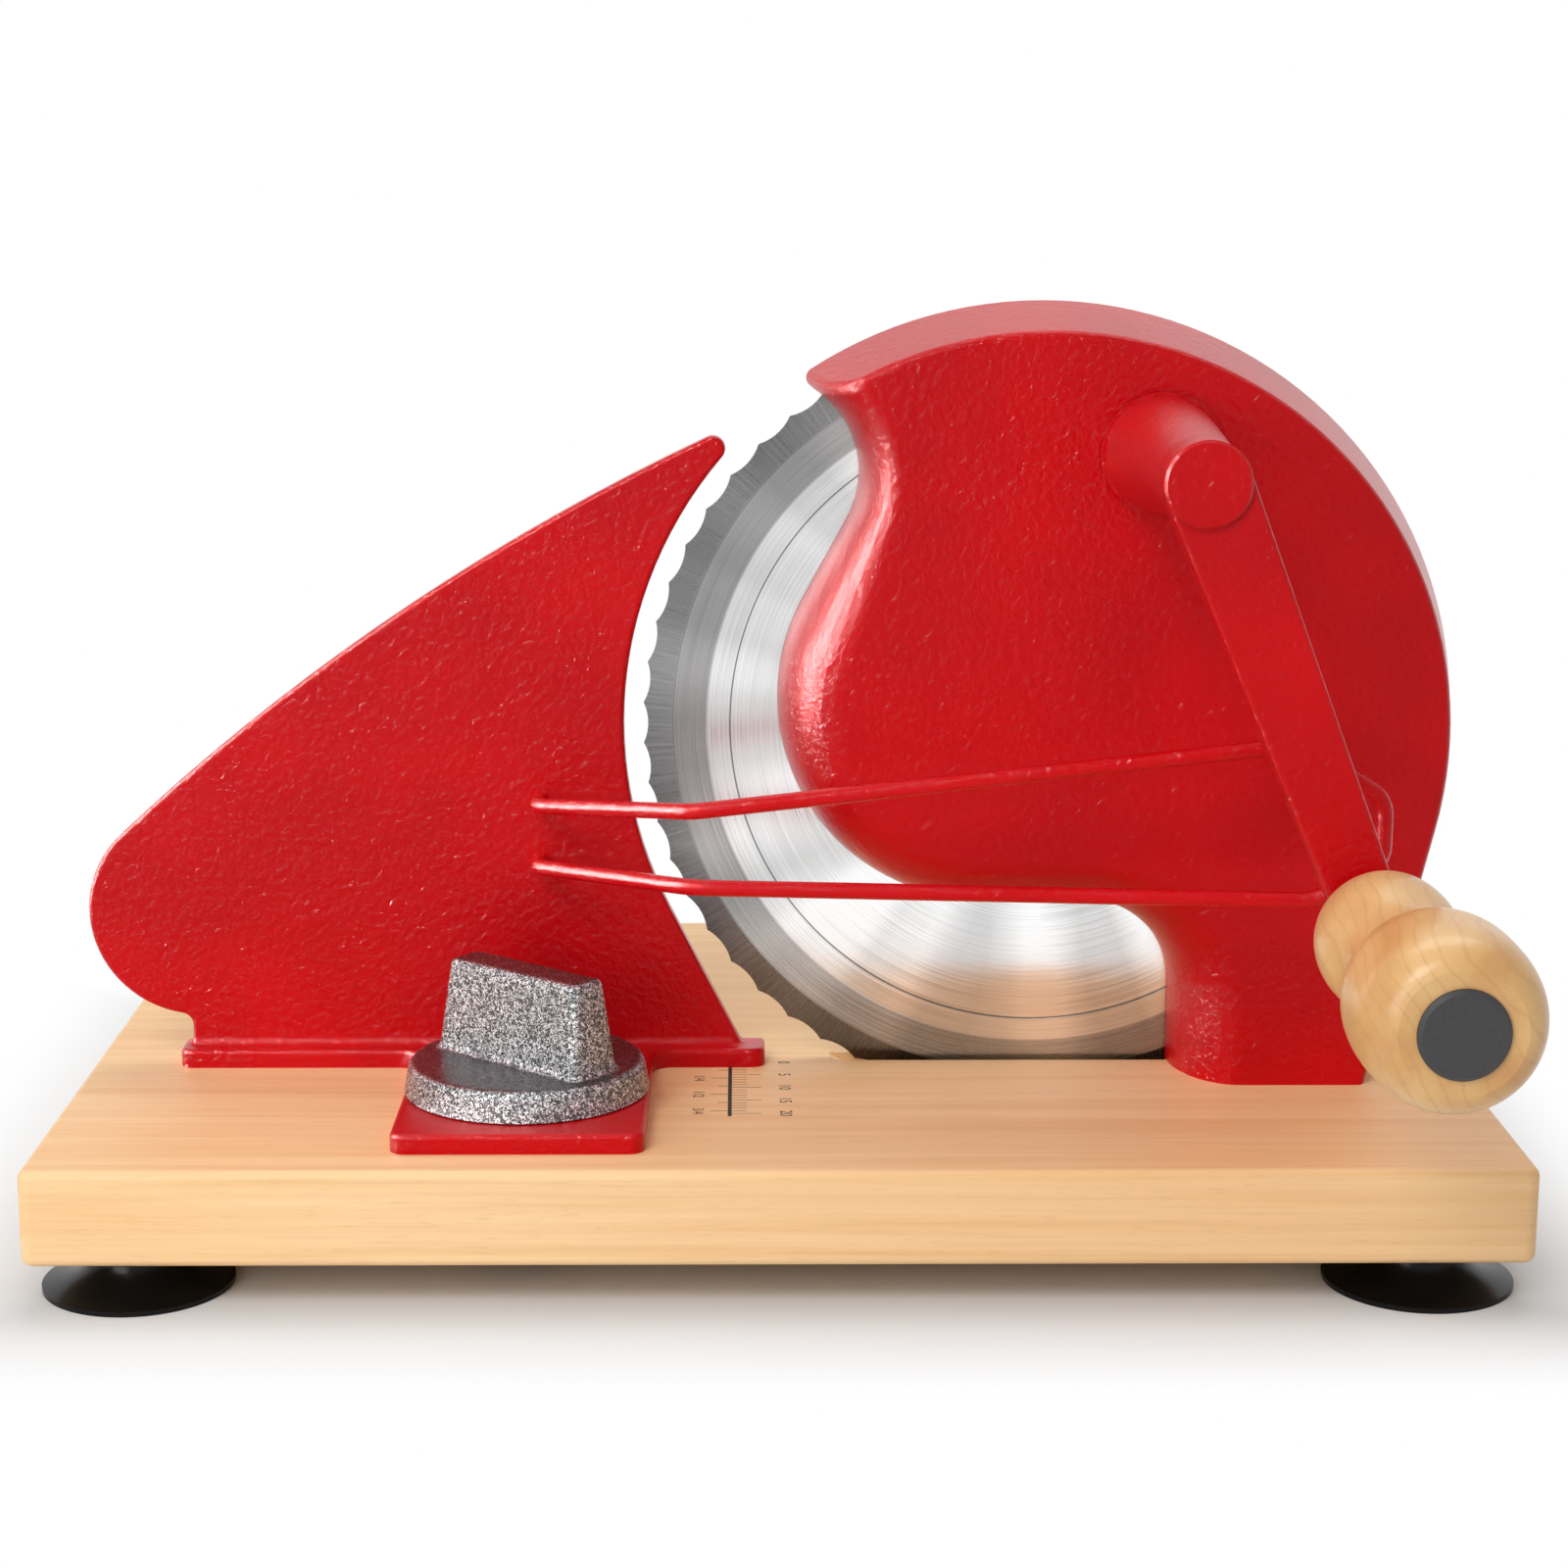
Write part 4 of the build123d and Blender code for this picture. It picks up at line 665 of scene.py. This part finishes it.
def white_room():
    """The world: white for the camera, a white room behind and a greyer one in front for what
    mirrors it, and a soft ceiling that lights the object."""
    world = bpy.data.worlds.new("studio")
    world.use_nodes = True
    tree = world.node_tree
    tree.nodes.clear()
    path = add(tree, "LightPath")
    way = add(tree, "SeparateXYZ", {0: add(tree, "TexCoord").outputs["Generated"]})
    ceiling = add(tree, "MapRange", {"Value": way.outputs["Z"], "From Min": -0.2, "To Min": 0.35,
                                     "To Max": 0.85})
    behind = add(tree, "MapRange", {"Value": way.outputs["Y"], "From Min": -0.15, "From Max": 0.35,
                                    "To Min": 0.8})
    soft = add(tree, "Background", {"Color": ceiling, "Strength": 0.6})
    room = add(tree, "Background", {"Color": behind, "Strength": 1.0})
    white = add(tree, "Background", {"Color": grey(1.0), "Strength": 1.0})
    mirrored = add(tree, "Math", {0: path.outputs["Is Glossy Ray"], 1: path.outputs["Is Transmission Ray"]},
                   operation="MAXIMUM")
    lighting = add(tree, "MixShader", {0: mirrored, 1: soft, 2: room})
    shown = add(tree, "MixShader", {0: path.outputs["Is Camera Ray"], 1: lighting, 2: white})
    add(tree, "OutputWorld", {"Surface": shown})
    return world


def area_light(name, at, towards, size, power):
    """Adds a soft lamp of a size and power that the camera doesn't see."""
    lamp = bpy.data.lights.new(name, "AREA")
    lamp.shape = "RECTANGLE"
    lamp.size, lamp.size_y = size
    lamp.energy = power
    holder = bpy.data.objects.new(name, lamp)
    turn = (Vector(towards) - Vector(at)).to_track_quat("-Z", "Y")
    holder.matrix_world = Matrix.Translation(at) @ turn.to_matrix().to_4x4()
    holder.visible_camera = False
    bpy.context.scene.collection.objects.link(holder)
    return holder


def light_studio():
    """Four lamps for everything, and two softboxes that light nothing and show only as gloss on
    the enamel, whose highlights are sharper than those of the wood and the bare metal. Seen from
    the right and low, at 60 degrees round and 10 up, gloss_left burns the flat fronts white."""
    middle = (0.0, 0.03, 0.1)
    left_middle = (-0.1, 0.0, 0.1)
    for name, at, towards, size, power in (
            ("key_left", (-0.65, -1.1, 1.25), middle, (0.7, 0.7), 12.0),
            ("front_low", (-0.6, -0.8, 0.3), left_middle, (0.5, 0.4), 3.0),
            ("fill_right", (1.3, -1.1, 0.8), middle, (0.8, 1.2), 0.7),
            ("top_back", (0.1, 0.6, 1.5), middle, (1.4, 0.7), 8.0)):
        area_light(name, at, towards, size, power)
    enamelled = bpy.data.collections.new("enamelled")
    enamelled.objects.link(bpy.data.objects["housing_skin"])
    for node in ("stop_plate", "crank_arm", "hub_cap", "wire_guard"):
        enamelled.objects.link(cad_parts[node])
    for name, at, size, power in (("gloss_left", (-0.62, -0.06, 0.27), (0.2, 0.5), 28.0),
                                  ("gloss_high", (-0.7, -0.8, 0.8), (0.3, 0.3), 20.0)):
        softbox = area_light(name, at, middle, size, power)
        softbox.visible_diffuse = False
        softbox.light_linking.receiver_collection = enamelled


def stand_camera():
    """The camera, at the photograph's viewing angle."""
    camera = bpy.data.cameras.new("camera")
    camera.lens = camera_lens
    camera.sensor_width = 36.0
    camera.clip_start = 0.02
    camera.clip_end = 50.0
    holder = bpy.data.objects.new("camera", camera)
    turn = Euler([radians(degrees) for degrees in camera_turn])
    holder.matrix_world = Matrix.Translation(camera_place) @ turn.to_matrix().to_4x4()
    bpy.context.scene.collection.objects.link(holder)
    return holder


class SLICER_OT_stage(bpy.types.Operator):
    """Pale floor, soft studio lights and the camera"""
    bl_idname = "slicer.stage"
    bl_label = "Studio"

    def execute(self, context):
        scene = context.scene
        scene.view_settings.view_transform = "Standard"
        form = bmesh.new()
        bmesh.ops.create_grid(form, x_segments=1, y_segments=1, size=6.0)
        mesh = bpy.data.meshes.new("floor")
        form.to_mesh(mesh)
        form.free()
        mesh.materials.append(paper_floor())
        floor = bpy.data.objects.new("floor", mesh)
        scene.collection.objects.link(floor)
        scene.world = white_room()
        light_studio()
        scene.camera = stand_camera()
        return {"FINISHED"}


class SLICER_PT_panel(bpy.types.Panel):
    """Lists the pieces that can be made again"""
    bl_idname = "SLICER_PT_panel"
    bl_label = "Bread slicer"
    bl_space_type = "VIEW_3D"
    bl_region_type = "UI"
    bl_category = "Slicer"

    def draw(self, context):
        for step in steps:
            self.layout.operator(step.bl_idname)
        for group in (context.scene.slicer_colours, context.scene.slicer_sizes):
            for name in group.bl_rna.properties.keys():
                if name not in ("rna_type", "name"):
                    self.layout.prop(group, name)


steps = (SLICER_OT_board, SLICER_OT_scale, SLICER_OT_castings, SLICER_OT_guard, SLICER_OT_blade,
         SLICER_OT_gears, SLICER_OT_grip, SLICER_OT_knob, SLICER_OT_stage)
classes = (SlicerColours, SlicerSizes) + steps + (SLICER_PT_panel,)


def register():
    for made in classes:
        bpy.utils.register_class(made)
    bpy.types.Scene.slicer_colours = bpy.props.PointerProperty(type=SlicerColours)
    bpy.types.Scene.slicer_sizes = bpy.props.PointerProperty(type=SlicerSizes)


def unregister():
    del bpy.types.Scene.slicer_sizes
    del bpy.types.Scene.slicer_colours
    for made in reversed(classes):
        bpy.utils.unregister_class(made)


def main():
    register()
    for step in steps:
        area, name = step.bl_idname.split(".")
        getattr(getattr(bpy.ops, area), name)()


if __name__ == "__main__":
    main()
